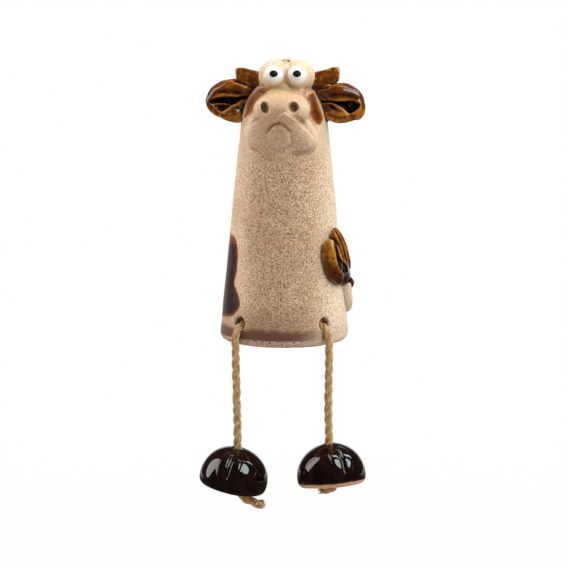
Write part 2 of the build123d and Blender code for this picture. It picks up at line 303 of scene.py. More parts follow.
def stroke(obj, path, width, depth):
    """Drag a round tool of a width along a path and press it in by a depth, all in mm."""
    path = eased(path)
    points = places(obj)
    away = np.full(len(points), np.inf)
    for start, end in zip(path, path[1:]):
        away = np.minimum(away, run_distance(points, start, end))
    near = away < 3 * width
    from_ends = np.minimum(*(np.linalg.norm(points - path[end], axis=1) for end in (0, -1)))
    reach = np.exp(-((away / width) ** 2) * 2) * np.clip(0.25 + from_ends / (2.5 * width), 0, 1)
    points[near] -= normals(obj)[near] * (depth * reach[near])[:, None]
    move_to(obj, points)


def wobble(obj, size, amount, seed):
    """The slow unevenness of a hand-made surface: waves of a size and height in mm."""
    points = places(obj)
    shift = np.array([noise.noise(Vector(p) / size + Vector((seed, 0, 0))) for p in points])
    move_to(obj, points + normals(obj) * (shift * amount)[:, None])


def store_relief(obj, repeats):
    """Keep how far each vertex stands proud of its smoothed surroundings, in mm."""
    points = places(obj)
    count = len(points)
    edges = np.empty(len(obj.data.edges) * 2, dtype=np.int32)
    obj.data.edges.foreach_get("vertices", edges)
    one, other = edges[::2], edges[1::2]
    degree = np.maximum(np.bincount(edges, minlength=count), 1)
    smoothed = points.T
    for _ in range(repeats):
        smoothed = [
            (np.bincount(one, row[other], count) + np.bincount(other, row[one], count)) / degree
            for row in smoothed
        ]
    store(obj, "relief", ((points - np.transpose(smoothed)) * normals(obj)).sum(axis=1))


# %% Helpers: from the photograph on to a piece
far_outside = -9.0  # mm, for what lies in no outline
thumb_factor = 0.6


def on_piece(obj, pixels):
    """Points in mm where lines of sight meet a piece. Lines that miss it are left out."""
    surface_tree = BVHTree.FromObject(obj, bpy.context.evaluated_depsgraph_get())
    hits = []
    for x, y in pixels:
        across = view_right * (x - picture_middle) * pixel_size
        down = view_up * (y - picture_middle) * pixel_size
        sight = (view_target + across - down - view_point).normalized()
        place = surface_tree.ray_cast(view_point, sight)[0]
        if place is not None:
            hits.append(np.array(place) / MM)
    return np.array(hits)


def seen_at(points):
    """Pixel of the photograph at which each point in mm is seen."""
    rays = points * MM - np.array(view_point)
    scale = view_distance / (-rays @ np.array(view_back)) / pixel_size
    return np.column_stack([
        picture_middle + rays @ np.array(view_right) * scale,
        picture_middle - rays @ np.array(view_up) * scale,
    ])


def inside_by(points, outline):
    """Signed distance of 2-D points to a closed outline: positive inside it."""
    outline = eased(np.vstack([outline, outline[:1]]), 5)
    best = np.full(len(points), 1e9)
    inside = np.zeros(len(points), dtype=bool)
    for start, end in zip(outline, outline[1:]):
        run = end - start
        best = np.minimum(best, run_distance(points, start, end))
        crosses = (start[1] > points[:, 1]) != (end[1] > points[:, 1])
        with np.errstate(divide="ignore", invalid="ignore"):
            at = start[0] + (points[:, 1] - start[1]) * run[0] / run[1]
        inside ^= crosses & (points[:, 0] < at)
    return np.where(inside, best, -best)


def inside_pixels(points, outline):
    """How far points in mm are seen inside an outline of pixels, in mm."""
    return inside_by(seen_at(points), outline) * pixel_size / MM


def facing_picture(obj):
    """True for each vertex on the side that the photograph sees."""
    return (normals(obj) @ np.array(view_back) > 0.02) & (places(obj)[:, 1] < 2.0)


def shift_front(obj, share, amount):
    """Move the front of a piece towards the picture by mm, eased in by a share."""
    share = np.clip(share, 0, 1)
    share = share * share * (3 - 2 * share) * facing_picture(obj)
    move_to(obj, places(obj) + np.outer(share * amount, np.array(view_back)))


def press(obj, middle, radii, tilt, depth, steepness):
    """Press an oval dent along the line of sight. Pixels, degrees and mm."""
    across, down = (seen_at(places(obj)) - np.array(middle)).T
    a = math.radians(tilt)
    long_way = (across * math.cos(a) + down * math.sin(a)) / radii[0]
    short_way = (down * math.cos(a) - across * math.sin(a)) / radii[1]
    shift_front(obj, (1 - np.hypot(long_way, short_way)) / steepness, -depth)


def build_up(obj, outline, height, edge):
    """Add a layer of clay inside an outline of pixels, with a sloping edge in mm."""
    shift_front(obj, inside_pixels(places(obj), outline) / edge, height)


def draw(obj, pixels, width, depth):
    """A stroke along pixels of the photograph, as far as the piece is seen there."""
    found = on_piece(obj, eased(pixels))
    if len(found) > 1:
        stroke(obj, found, width, depth)


def rub_area(obj, outline, repeats):
    """Rub one area with a thumb. The outline is in pixels of the photograph."""
    inside = (inside_pixels(places(obj), outline) > 0) & facing_picture(obj)
    area = obj.vertex_groups.new(name="thumb")
    area.add([int(i) for i in np.flatnonzero(inside)], 1.0, "REPLACE")
    rub(obj, thumb_factor, repeats, "thumb")
    obj.vertex_groups.clear()


def store_fold_shade(obj, outline):
    """Keep how far each front vertex lies inside the outline of a fold, in mm, for the fold's painted shade.
    """
    points = places(obj)
    store(obj, "fold", np.where(points[:, 1] < -1.0, inside_pixels(points, outline), far_outside))


# %% [markdown]
# Each leg is one length of three-ply jute. Its line is a smooth NURBS curve through the route
# that the cord takes from its stopper knot, out of the hole, round the hole's lip and down to
# the knot under the hoof. The plies are then wound round that line: each is a tube with
# fibre ridges of its own, so that the rope catches the light the way twisted fibre does.

# %% Routes and sizes of the cords
cord_diameter = 4.2
ply_radius, ply_offset = 1.02, 1.0
lay_length = 17.0
ply_sides = 18
ring_step = 0.4
ridge_count, ridge_height, ridge_turn = 7, 0.10, 5.5
# How far a ply strays, runs ahead, swells and is rough, each with the length in mm of its waves
stray, stray_length = 0.16, 6.0
ahead_angle, ahead_length = 0.5, 9.0
swell, swell_length = 0.13, 3.5
rough, rough_scale = 0.14, 1.6

routes = {
    "left": [
        (-16.34, -18.79, 10.6), (-22.63, -26.04, 10.6), (-22.05, -26.15, -8.0),
        (-21.72, -26.02, -26.5), (-21.22, -25.98, -45.0), (-21.00, -25.90, -62.2),
    ],
    "right": [
        (17.14, -18.06, 10.6), (23.75, -25.03, 10.6), (23.90, -25.10, -8.0),
        (23.40, -25.20, -27.0), (23.92, -25.10, -45.5), (24.05, -25.05, -60.0),
    ],
}

# %% The line of a cord


def route_line(route):
    """Points in mm along the smooth curve of a route."""
    data = bpy.data.curves.new("route", "CURVE")
    data.dimensions = "3D"
    spline = data.splines.new("NURBS")
    spline.points.add(len(route) - 1)
    for point, place in zip(spline.points, route):
        point.co = (*(Vector(place) * MM), 1.0)
    spline.order_u = 3
    spline.use_endpoint_u = True
    spline.resolution_u = 24
    obj = bpy.data.objects.new("route", data)
    bpy.context.scene.collection.objects.link(obj)
    bpy.context.view_layer.update()
    mesh = bpy.data.meshes.new_from_object(obj)
    line = np.array([tuple(vertex.co) for vertex in mesh.vertices]) / MM
    bpy.data.objects.remove(obj)
    bpy.data.curves.remove(data)
    bpy.data.meshes.remove(mesh)
    return line


def even_points(line, step):
    """The same line with its points a step apart."""
    runs = np.linalg.norm(np.diff(line, axis=0), axis=1)
    at = np.concatenate([[0], np.cumsum(runs)])
    count = max(2, int(round(at[-1] / step)) + 1)
    wanted = np.linspace(0, at[-1], count)
    return np.column_stack([np.interp(wanted, at, line[:, axis]) for axis in range(3)])


def carried_frames(line):
    """Two directions across the line at each point, carried along without twisting."""
    ahead = np.gradient(line, axis=0)
    ahead /= np.linalg.norm(ahead, axis=1)[:, None]
    across = np.cross(ahead[0], (0.3, 0.2, 1.0) if abs(ahead[0][2]) < 0.9 else (1.0, 0.0, 0.0))
    firsts = []
    for direction in ahead:
        across = across - direction * (across @ direction)
        across = across / np.linalg.norm(across)
        firsts.append(across)
    firsts = np.array(firsts)
    return firsts, np.cross(ahead, firsts)


def ring_round(centre, first, second, reach, angles):
    """Points round a centre, all at one reach or each at its own."""
    return centre + np.outer(reach * np.cos(angles), first) + np.outer(reach * np.sin(angles), second)


# %% Winding the plies


def tubes(name, all_rings):
    """One mesh of closed tubes, each through rings of points in mm in the same turning sense."""
    points, faces = [], []
    for rings in all_rings:
        count, sides = rings.shape[:2]
        base = len(points)
        points.extend(tuple(point * MM) for ring in rings for point in ring)
        for low in range(base, base + (count - 1) * sides, sides):
            for j in range(sides):
                k = (j + 1) % sides
                faces.append((low + j, low + k, low + sides + k, low + sides + j))
        faces.append(tuple(range(base, base + sides))[::-1])
        faces.append(tuple(range(len(points) - sides, len(points))))
    mesh = bpy.data.meshes.new(name)
    mesh.from_pydata(points, [], faces)
    mesh.validate()
    obj = bpy.data.objects.new(name, mesh)
    bpy.context.scene.collection.objects.link(obj)
    face_outwards(obj)
    shade(obj)
    return obj


def waves(along, length, *seeds):
    """Slow noise at places along a line, in waves of a length."""
    return np.array([noise.noise(Vector((s / length, *seeds))) for s in along])


def wind_ply(name, line, phase, radius=ply_radius, offset=ply_offset, loosen=0.0):
    """One ply of a rope round a line, with its fibre ridges, and its own lengthwise numbers."""
    line = even_points(line, ring_step)
    first, second = carried_frames(line)
    along = np.arange(len(line)) * ring_step
    turn = 2 * math.pi * along / lay_length + phase
    turn += ahead_angle * waves(along, ahead_length, 5.2, 1.7)
    strays = stray * waves(along, stray_length, phase, 3.1)
    out = offset * (1 + strays + loosen * (along / along[-1]) ** 2)
    centre = line + first * (out * np.cos(turn))[:, None] + second * (out * np.sin(turn))[:, None]
    first, second = carried_frames(centre)
    angles = np.linspace(0, 2 * math.pi, ply_sides, endpoint=False)
    circle = [(math.cos(a) * rough_scale, math.sin(a) * rough_scale) for a in angles]
    girth = 1 + swell * waves(along, swell_length, 7.7, phase)
    rings = []
    for i, s in enumerate(along):
        ridges = np.abs(np.sin((angles * ridge_count + s * ridge_turn / ply_radius) / 2))
        bumps = np.array([noise.noise(Vector((*place, s * 0.5 + 9 * phase))) for place in circle])
        reach = radius * (girth[i] + ridge_height * (ridges - 0.6) + rough * bumps)
        rings.append(ring_round(centre[i], first[i], second[i], reach, angles))
    obj = tubes(name, [np.array(rings)])
    store(obj, "along", np.repeat(along, ply_sides))
    store(obj, "around", np.tile(angles / (2 * math.pi) + phase, len(line)))
    return obj


def wind_rope(name, line, **changes):
    """A rope of three plies round a line."""
    phases = [0.4 + 2 * math.pi * k / 3 for k in range(3)]
    return join(name, [wind_ply(f"{name}_{k}", line, p, **changes) for k, p in enumerate(phases)])


cords, lines = {}, {}
for side, route in routes.items():
    lines[side] = route_line(route)
    cords[side] = wind_rope(f"{side}_cord", lines[side])
    length = np.linalg.norm(np.diff(lines[side], axis=0), axis=1).sum()
    print(side, "cord", round(float(length), 1), "mm", len(cords[side].data.polygons), "faces")

# %% [markdown]
# A cord ends in overhand knots: one inside the body that stops it in its hole, and one in the
# pocket of the hoof. A knot is the same rope led twice round itself, so its line comes from a
# loop, and the loose end that leaves the knot follows a short route of its own.

# %% Knots and loose ends
knot_radius, knot_step = 2.75, 3.0
knot_turns, knot_points = 1.75, 14
knot_first_share = 0.85
loose_ply = {"radius": 0.92, "offset": 0.86}
loosening = {"left": 1.1, "right": 0.5}
end_routes = {
    "left": [(0.6, 0.2, -8.4), (0.8, 0.3, -13.0), (6.2, 0.5, -15.6), (12.0, 0.8, -17.2)],
    "right": [(2.4, 0.0, -8.2), (2.2, 0.0, -10.8), (-0.8, -0.3, -11.3), (-4.0, -0.4, -11.3)],
}


def across_pair(direction):
    """Two directions square to a direction."""
    first = Vector(direction).orthogonal().normalized()
    return np.array(first), np.array(Vector(direction).cross(first).normalized())


def knot_route(seat, inward):
    """Points of a double overhand turn that starts at a seat."""
    first, second = across_pair(inward)
    points = [seat, seat + inward * knot_step * knot_first_share / 2]
    for i in range(knot_points + 1):
        angle = 2 * math.pi * knot_turns * i / knot_points
        depth = knot_step * (knot_first_share + (knot_turns - 0.55) * i / knot_points)
        points.append(
            seat + inward * depth + knot_radius * (math.cos(angle) * first + math.sin(angle) * second)
        )
    return points


inner_knots, hoof_knots = {}, {}
for side, route in routes.items():
    ends = [np.array(point) for point in route]
    inner_line = route_line(knot_route(ends[0], -unit(ends[1] - ends[0])))
    inner_knots[side] = wind_rope(f"{side}_stopper_knot", inner_line)
    knot_line = route_line(knot_route(ends[-1], unit(ends[-1] - ends[-2])))
    end_line = route_line([ends[-1] + np.array(point) for point in end_routes[side]])
    hoof_knots[side] = join(f"{side}_hoof_tie", [
        wind_rope(f"{side}_knot_turns", knot_line),
        wind_rope(f"{side}_loose_end", end_line, loosen=loosening[side], **loose_ply),
    ])
print("knots:", [len(k.data.polygons) for k in (*inner_knots.values(), *hoof_knots.values())])

# %% [markdown]
# Jute is a hairy fibre. Short fuzz stands off the plies all along, and here and there a
# single long fibre springs out. They are made as thin three-sided hairs on their own meshes,
# seeded so that each run grows the same ones.

# %% Stray fibres
hair_sides, hair_rings = 3, 6
fuzz_per_mm, fuzz_step, fuzz_start = 1.1, 0.5, 0.13
fuzz_reach = (0.8, 2.3)
fuzz_radius, long_hair_radius, end_fibre_radius = 0.045, 0.055, 0.12
fuzz_root, long_hair_root, end_fibre_root = 1.7, 1.5, 1.6
end_fibres = 70
long_hairs = {
    # place as a share along the cord, degrees from the front towards +X, length and droop in mm
    "left": [
        (0.30, -80, 5.0, 0.4), (0.33, 95, 3.9, 1.0), (0.50, -95, 5.4, 5.5), (0.56, -70, 2.0, 4.0),
        (0.42, -75, 3.2, -0.6), (0.83, -80, 2.4, 1.8), (0.86, -100, 4.5, 3.0), (0.70, 70, 2.2, 0.8),
        (0.90, 80, 2.4, -1.4),
    ],
    "right": [
        (0.25, 95, 6.6, -1.6), (0.31, -85, 2.4, 1.1), (0.40, -100, 4.4, 6.0), (0.56, 80, 2.6, -0.8),
        (0.62, -70, 1.9, 3.2), (0.80, -95, 5.0, 0.9), (0.78, 100, 3.1, -1.0), (0.86, -60, 2.2, 0.6),
    ],
}


def hair(root, direction, length, droop, radius, sway):
    """Rings of one hair that leaves its root in a direction and droops."""
    steps = np.linspace(0, 1, hair_rings)
    line = np.array([
        root + direction * length * t + np.array((0.0, 0.0, -droop)) * t**2 + sway * t * (1 - t)
        for t in steps
    ])
    angles = [2 * math.pi * k / hair_sides for k in range(hair_sides)]
    return np.array([
        [place + radius * (1 - 0.75 * t) * (math.cos(a) * out + math.sin(a) * aside) for a in angles]
        for t, place, out, aside in zip(steps, line, *carried_frames(line))
    ])


fuzz = {}
for side, seed in (("left", 11), ("right", 23)):
    chance = random.Random(seed)
    line = even_points(lines[side], fuzz_step)
    first, second = carried_frames(line)
    start = int(len(line) * fuzz_start)
    grown = []
    for _ in range(int(len(line) * fuzz_step * fuzz_per_mm)):
        i = chance.randrange(start, len(line) - 3)
        angle = chance.uniform(0, 2 * math.pi)
        out = math.cos(angle) * first[i] + math.sin(angle) * second[i]
        away = unit(out + np.array((0.0, 0.0, chance.uniform(-0.9, 0.6))))
        sway = np.array([chance.uniform(-0.6, 0.6) for _ in range(3)])
        length, droop = chance.uniform(*fuzz_reach), chance.uniform(-0.3, 0.6)
        grown.append(hair(line[i] + out * fuzz_root, away, length, droop, fuzz_radius, sway))
    for share, angle, length, droop in long_hairs[side]:
        i = int(share * (len(line) - 1))
        out = np.array((math.sin(math.radians(angle)), -math.cos(math.radians(angle)), 0.0))
        sway = np.array([chance.uniform(-0.5, 0.5), chance.uniform(-0.5, 0.5), chance.uniform(0.2, 1.2)])
        grown.append(hair(line[i] + out * long_hair_root, out, length, droop, long_hair_radius, sway))
    fuzz[side] = tubes(f"{side}_cord_fuzz", grown)

# %% Frayed tips of the loose ends
tip_fibres = {}
for side, spread in (("left", 1.0), ("right", 0.6)):
    chance = random.Random(5)
    before, end = (np.array(point) for point in end_routes[side][-2:])
    tip = np.array(routes[side][-1]) + end
    ahead = unit(end - before)
    first, second = across_pair(ahead)
    grown = []
    for _ in range(end_fibres):
        angle = chance.uniform(0, 2 * math.pi)
        out = (math.cos(angle) * first + math.sin(angle) * second) * chance.uniform(0.1, 1.0)
        away = unit(ahead + out * 0.35 * spread)
        sway = np.array([chance.uniform(-0.4, 0.4) for _ in range(3)])
        root = tip - ahead * chance.uniform(0.6, 2.2) + out * end_fibre_root
        length, droop = chance.uniform(1.6, 3.2), chance.uniform(-0.3, 0.5)
        grown.append(hair(root, away, length, droop, end_fibre_radius, sway))
    tip_fibres[side] = tubes(f"{side}_frayed_tip", grown)
print("hairs:", [len(f.data.polygons) for f in (*fuzz.values(), *tip_fibres.values())])

# %% [markdown]
# The body is a cone of clay with a domed crown, and the brow, the muzzle, the lip and the
# chin are lumps that the maker pressed on to it and smoothed in with a wet finger. Separate
# balls would meet in hard creases. So the cone is turned, the lumps are added as squeezed
# balls, all are melted into one skin, and the creases that the photograph shows are then
# drawn in with a round tool, each along its own line of sight.

# %% Sizes of the body
foot_radius, foot_round = 32.5, 4.6
shoulder_height, shoulder_radius = 110.0, 21.3
crown_height = 133.0
wall, crown_wall = 5.5, 9.0
head_shift, eye_spacing = 1.5, 11.8
mound_forward, mound_height = 5.5, crown_height - 1.6
hole_height, hole_radius, hole_lip = 11.3, 3.2, 0.9
hole_angles = {"left": -41.0, "right": 43.5}
body_voxel, tail_voxel, leaf_voxel, forelock_voxel, hoof_voxel = 0.62, 0.5, 0.42, 0.4, 0.36
bare_height, inner_bare = 1.1, 4.0


def wall_radius(height):
    """Outside radius of the cone at a height."""
    return foot_radius + (shoulder_radius - foot_radius) * height / shoulder_height


def around(angle, radius, height):
    """Point at an angle round the body, counted from the front towards +X."""
    turn = math.radians(angle)
    return Vector((radius * math.sin(turn), -radius * math.cos(turn), height))


# %% Turn the cone
foot_rings = []
for step in range(8):
    a = math.radians(80.0 * step / 7)
    height = foot_round * (1 - math.cos(a))
    foot_rings.append((height, wall_radius(height) - foot_round * (1 - math.sin(a))))
wall_rings = [(z, wall_radius(z)) for z in np.linspace(8.0, shoulder_height, 22)]
dome_rings = []
for step in range(1, 15):
    a = math.radians(88.5 * step / 14)
    height = shoulder_height + (crown_height - shoulder_height) * math.sin(a)
    dome_rings.append((height, (wall_radius(height) * 0.6 + shoulder_radius * 0.4) * math.cos(a) ** 0.92))
body = stack_rings("cow_body", foot_rings + wall_rings + dome_rings, 96)

# %% Bore the cord holes, with a rounded lip
bore_rings = [
    (-14.0, hole_radius), (-hole_lip, hole_radius), (-0.3 * hole_lip, hole_radius + 0.25 * hole_lip),
    (0.0, hole_radius + 0.9 * hole_lip), (3.0, hole_radius + 1.6 * hole_lip),
]
mouths = {}
for side, angle in hole_angles.items():
    mouths[side] = around(angle, wall_radius(hole_height), hole_height)
    bore = stack_rings("bore", bore_rings, 40)
    aim(bore, mouths[side], around(angle, 1.0, 0.0))
    cut(body, bore)

# %% Press the lumps of the head on to it
eyes = {"left": head_shift - eye_spacing / 2, "right": head_shift + eye_spacing / 2}
lumps = [
    lump("mound_left", (eyes["left"] + 0.3, -mound_forward, mound_height), (16.8, 17.2, 17.0)),
    lump("mound_right", (eyes["right"] - 0.1, -mound_forward, mound_height), (17.2, 17.2, 16.8)),
    lump("mound_middle", (head_shift, -7.5, mound_height - 1.2), (15.0, 15.6, 15.4)),
    lump("lid_left", (eyes["left"] + 0.1, -10.5, mound_height + 0.2), (13.2, 13.4, 13.6)),
    lump("lid_right", (eyes["right"], -10.5, mound_height + 0.1), (13.2, 13.4, 13.6)),
    lump("under_eye_left", (eyes["left"], -12.0, 124.9), (12.4, 9.2, 5.6)),
    lump("under_eye_right", (eyes["right"] - 1.4, -12.0, 124.6), (11.0, 9.0, 5.4)),
    lump("between_eyes", (0.8, -12.4, 126.4), (10.0, 8.0, 7.0)),
    lump("bridge", (1.0, -13.4, 119.8), (22.0, 17.0, 13.6)),
    lump("nose", (0.4, -22.0, 116.2), (29.0, 22.2, 15.6)),
    lump("nose_top", (0.9, -20.8, 118.8), (25.4, 15.8, 12.0)),
    lump("muzzle", (-1.2, -18.8, 106.6), (33.0, 15.6, 23.0)),
    lump("chin", (-0.8, -17.0, 100.0), (25.0, 15.0, 27.0)),
    lump("lip_right", (7.6, -19.6, 106.4), (25.0, 13.4, 16.0), (0, 46, 10)),
    lump("lip_left", (-9.4, -18.8, 106.0), (19.0, 13.0, 17.0), (0, -40, -12)),
    lump("under_nose", (0.4, -22.6, 111.0), (22.0, 13.0, 15.0)),
]
body = join("cow_body", [body, *lumps])
knead(body, body_voxel, 5)
muzzle_pixels = [
    (256, 106), (280, 110), (303, 106), (309, 116), (318, 136), (316, 152), (300, 158), (260, 158),
    (244, 150), (242, 134), (248, 118),
]
rub_area(body, muzzle_pixels, 26)
print("body skin:", len(body.data.polygons), "faces")

# %% [markdown]
# The creases are what make the face: the valley between the eyes, the crease over the brow,
# the frown of the mouth, the ledge of the drooping lip and the nostrils. A line of sight
# through a few pixels of the photograph finds the place of each on the clay.

# %% Lay on the lip, thicker to the right and thinner below the mouth, and the chin
lip_pixels = [
    (285.2, 111.4), (291.5, 116.2), (297, 119.6), (304, 126), (310, 132), (314.6, 138.5), (313.8, 144),
    (310, 149.5), (304, 151.4), (294, 152), (280, 152.5), (266, 152), (257, 150.5), (250.5, 144.5),
    (247.4, 138), (246.3, 131.8), (248.2, 127.2), (254, 122.6), (261, 119), (268, 117.4), (275, 115.6),
    (280.5, 113.6),
]
chin_pixels = [
    (266.6, 131), (270, 126.6), (274, 124.2), (279, 123), (283.6, 124), (287.6, 127.8), (291, 132.6),
    (292, 141), (287, 148), (277, 150), (269, 147), (265.4, 139),
]
# Pixels: where the lip starts and how far on it is full, and the mouth with its reach
lip_start, lip_run = 272, 16
mouth_x, mouth_y, mouth_across, mouth_down = 280, 132, 21, 18
lip_height, chin_height = 2.0, 0.7
seen_x, seen_y = seen_at(places(body)).T
to_right = np.clip((seen_x - lip_start) / lip_run, 0.05, 1)
below_mouth = np.clip((seen_y - mouth_y) / mouth_down, 0, 1)
below_mouth *= np.exp(-(((seen_x - mouth_x) / mouth_across) ** 2) * 1.6)
build_up(body, lip_pixels, lip_height * to_right * (1 - below_mouth), 1.1)
build_up(body, chin_pixels, chin_height, 2.2)

# %% Press in the creases of the face
face_strokes = {
    # pixels of the photograph, width and depth in mm
    "mouth": (
        [(267.8, 132), (269.8, 128.4), (273, 125), (279, 123.6), (283.2, 124.9), (286.8, 128.8),
         (290.2, 132.6)], 0.9, 1.4,
    ),
    "left of mouth": ([(267.2, 132), (266.8, 137), (264.8, 142.5)], 1.0, 0.22),
    "right of mouth": ([(289.2, 133.2), (290.8, 138), (293.2, 143)], 1.0, 0.22),
    "ledge of lip": ([(292.5, 114), (297, 117), (303.5, 122.4), (307, 126)], 1.3, 0.8),
    "left of lip": ([(263, 116.6), (256, 119.5), (249.5, 124.5)], 1.2, 0.35),
    "chin wrinkle": ([(284.2, 136.5), (284.4, 140.5), (286.8, 142)], 0.6, 0.3),
    "left jowl": ([(251.5, 148), (257.5, 151), (264, 155)], 1.0, 0.3),
    "right jowl": ([(304.5, 151.8), (308.8, 149.6), (311, 146.4)], 0.9, 0.45),
    "eye valley": ([(286.5, 67), (285.6, 73), (285.2, 80), (285.6, 86)], 0.7, 0.3),
    "brow": ([(269.5, 64.5), (276, 62.8), (281, 64), (286, 64.6), (292, 64), (299, 64.5)], 0.8, 0.4),
    "under eyes": ([(263, 86), (270, 88), (278, 89.2), (290, 89.6), (300, 91), (306, 93)], 1.2, 0.35),
    "left of nose": ([(263, 94.2), (257, 99), (253.4, 105), (251.6, 112.5)], 1.3, 0.5),
    "right of nose": ([(304, 95), (308.2, 101.5), (310.2, 108), (310, 115.5)], 1.3, 0.5),
}
for row in face_strokes.values():
    draw(body, *row)

# %% Push in the nostrils
nostril_depth, nostril_steepness = 4.8, 0.55
press(body, (264.8, 107.8), (5.2, 7.2), -20, nostril_depth, nostril_steepness)
press(body, (293.2, 107.4), (6.0, 6.4), 0, nostril_depth, nostril_steepness)

# %% Even out the strokes and give the clay its slow unevenness
rub(body, 0.4, 2)
wobble(body, 17.0, 0.28, 3.0)
wobble(body, 4.5, 0.07, 8.0)

# %% Hollow the cone from below
inner_foot, roof_foot = foot_radius - wall, shoulder_height - wall
roof_rise = crown_height - crown_wall - roof_foot
inner_rings = [(-3.0, inner_foot + 1.6), (0.0, inner_foot + 0.4), (0.8, inner_foot - 0.2)]
inner_rings += [(z, wall_radius(z) - wall) for z in np.linspace(8.0, roof_foot, 8)]
for step in range(1, 9):
    a = math.radians(86.0 * step / 8)
    inner_rings.append((roof_foot + roof_rise * math.sin(a), (wall_radius(roof_foot) - wall) * math.cos(a)))
cut(body, stack_rings("hollow", inner_rings, 72))
shade(body)
print("hollowed body:", len(body.data.polygons), "faces")

# %% [markdown]
# Two glazes lie on the same clay: the speckled cream, and the thick brown of the cow's
# patches. The edge of a patch is kept as a signed distance in mm on every vertex, so that the
# material can place a sharp edge between vertices and let the glaze run thin beside it.
# Bare clay, at the foot and inside, is kept the same way.

# %% Outlines of the brown patches
flank_seen_pixels = [
    (227, 233.4), (231, 232.6), (234.3, 235.8), (236.8, 242), (238, 252), (237.7, 262), (236.8, 272),
    (235, 280), (234.6, 284), (236, 288), (239, 297), (240, 304), (238, 310), (234, 314.5), (230, 316.5),
]
# Where the picture can't see, the flank patch goes on as angle and height in mm
flank_hidden = [(-84, 12), (-94, 13), (-103, 18), (-109, 27), (-106, 37), (-98, 45), (-91, 55), (-83, 57.5)]
degrees_to_mm = 0.5
left_cheek_pixels = [
    (272, 88.6), (267, 91.9), (262.3, 95.3), (258.3, 99.3), (255.2, 103.4), (253.5, 108.1), (252.5, 112.9),
    (248.1, 115.6), (244, 118.3), (245.2, 112.9), (246.2, 107.4), (248.1, 101.4), (252.2, 95.3),
    (256.9, 89.9), (259.6, 88.2), (265, 87.6),
]
right_cheek_pixels = [
    (307.6, 95.3), (311, 93.2), (313.7, 92.6), (316.4, 98), (319.1, 106.1), (322.5, 114.9), (323.2, 119.6),
    (321.1, 123.7), (318.1, 125), (314.4, 122.3), (311, 117.6), (309.6, 112.9), (310, 109.5), (309, 103.4),
    (305.9, 98.7),
]


def unrolled(points):
    """Angle and height of points on the wall of the cone, both in mm."""
    angle = np.degrees(np.arctan2(points[:, 0], -points[:, 1]))
    return np.column_stack([angle * degrees_to_mm, points[:, 2]])


# %% Keep the patches, the bare clay and the relief of the body
points, facing = places(body), normals(body)
flank_seen = unrolled(on_piece(body, flank_seen_pixels))
flank_outline = np.vstack([flank_seen, np.array(flank_hidden) * (degrees_to_mm, 1)])
flank = inside_by(unrolled(points), flank_outline)
cheeks = np.maximum(inside_pixels(points, left_cheek_pixels), inside_pixels(points, right_cheek_pixels))
cheeks = np.where(facing_picture(body), cheeks, far_outside)
outward = points[:, 0] * facing[:, 0] + points[:, 1] * facing[:, 1]
inner_side = np.hypot(points[:, 0], points[:, 1]) < wall_radius(points[:, 2]) - 0.62 * wall
inner_side &= (outward < 0.5) & (points[:, 2] < crown_height - 0.6 * crown_wall)
store(body, "patch", np.where(inner_side, far_outside, np.maximum(flank, cheeks)))
store(body, "bare", np.where(inner_side, inner_bare, bare_height - points[:, 2]))
store_relief(body, 14)
print("patch share", round(float((np.maximum(flank, cheeks) > 0).mean()), 3))

# %% [markdown]
# The eyeballs are white balls sunk in the brow. A pupil is a thick drop of black glaze that
# stands a little proud, so it is a flattened ball with its rim drawn down to the eyeball.

# %% Eyeballs and pupils
eyeball_radius, eyeball_forward, eyeball_rise = 5.95, 6.5, 0.3
pupil_size, pupil_proud = (4.1, 3.4, 1.0), 0.03
pupil_look = math.radians(19.0)
pupil_turns = {"left": math.radians(4.5), "right": 0.0}
eyeballs, pupils = {}, {}
for side, eye_x in eyes.items():
    centre = Vector((eye_x, -mound_forward - eyeball_forward, mound_height + eyeball_rise))
    ball = lump(f"{side}_eyeball_glazed", centre, (2 * eyeball_radius,) * 3, sides=64)
    look = Vector((math.sin(pupil_turns[side]), -math.cos(pupil_look), math.sin(pupil_look))).normalized()
    store(ball, "from_rim", (places(ball) - np.array(centre)) @ np.array(look) / eyeball_radius)
    shade(ball)
    eyeballs[side] = ball
    drop = lump(f"{side}_pupil_drop", (0, 0, 0), pupil_size)
    flat = places(drop)
    share = np.clip(np.hypot(flat[:, 0] / pupil_size[0], flat[:, 1] / pupil_size[1]) * 2, 0, 1)
    flat[:, 2] = np.where(flat[:, 2] > 0, flat[:, 2] * (1.15 - 0.25 * share), flat[:, 2])
    flat[:, 2] -= (flat[:, 0] ** 2 + flat[:, 1] ** 2) / (2 * eyeball_radius)
    move_to(drop, flat)
    aim(drop, centre + look * (eyeball_radius + pupil_proud), look)
    shade(drop)
    pupils[side] = drop

# %% [markdown]
# The forelock is pinched from a small roll of clay: three lumps, melted together, with the
# pinches drawn in.

# %% Forelock
forelock = join("forelock_clay", [
    lump("roll_left", (-3.0, -3.8, 137.2), (9.4, 9.0, 5.2), (0, -14, 0)),
    lump("roll_middle", (1.6, -2.8, 138.0), (10.0, 9.0, 5.4)),
    lump("roll_right", (5.6, -3.0, 137.2), (8.4, 8.0, 5.2), (0, 14, 0)),
])
knead(forelock, forelock_voxel, 4)
forelock_strokes = [
    # pixels of the photograph, width and depth in mm
    ([(269.5, 62), (272.5, 61.6), (276.5, 61.8), (281, 61), (286, 60.2), (288.6, 61.4)], 0.75, 0.9),
    ([(271.8, 61.4), (272, 62.4)], 0.7, 0.8),
    ([(276.3, 61.6), (276.6, 62.8)], 0.7, 0.8),
    ([(288, 60.6), (288.8, 62.4)], 0.8, 1.3),
    ([(283, 59.4), (286, 60.6)], 0.6, -0.35),
]
for pixels, width, depth in forelock_strokes:
    stroke(forelock, on_piece(forelock, pixels), width, depth)
for pixel in ((271.6, 61.6), (276.2, 61.7), (288.4, 61.2)):
    press(forelock, pixel, (1.3, 1.0), 0, 1.1, 0.7)
wobble(forelock, 3.0, 0.18, 4.0)
store_relief(forelock, 10)

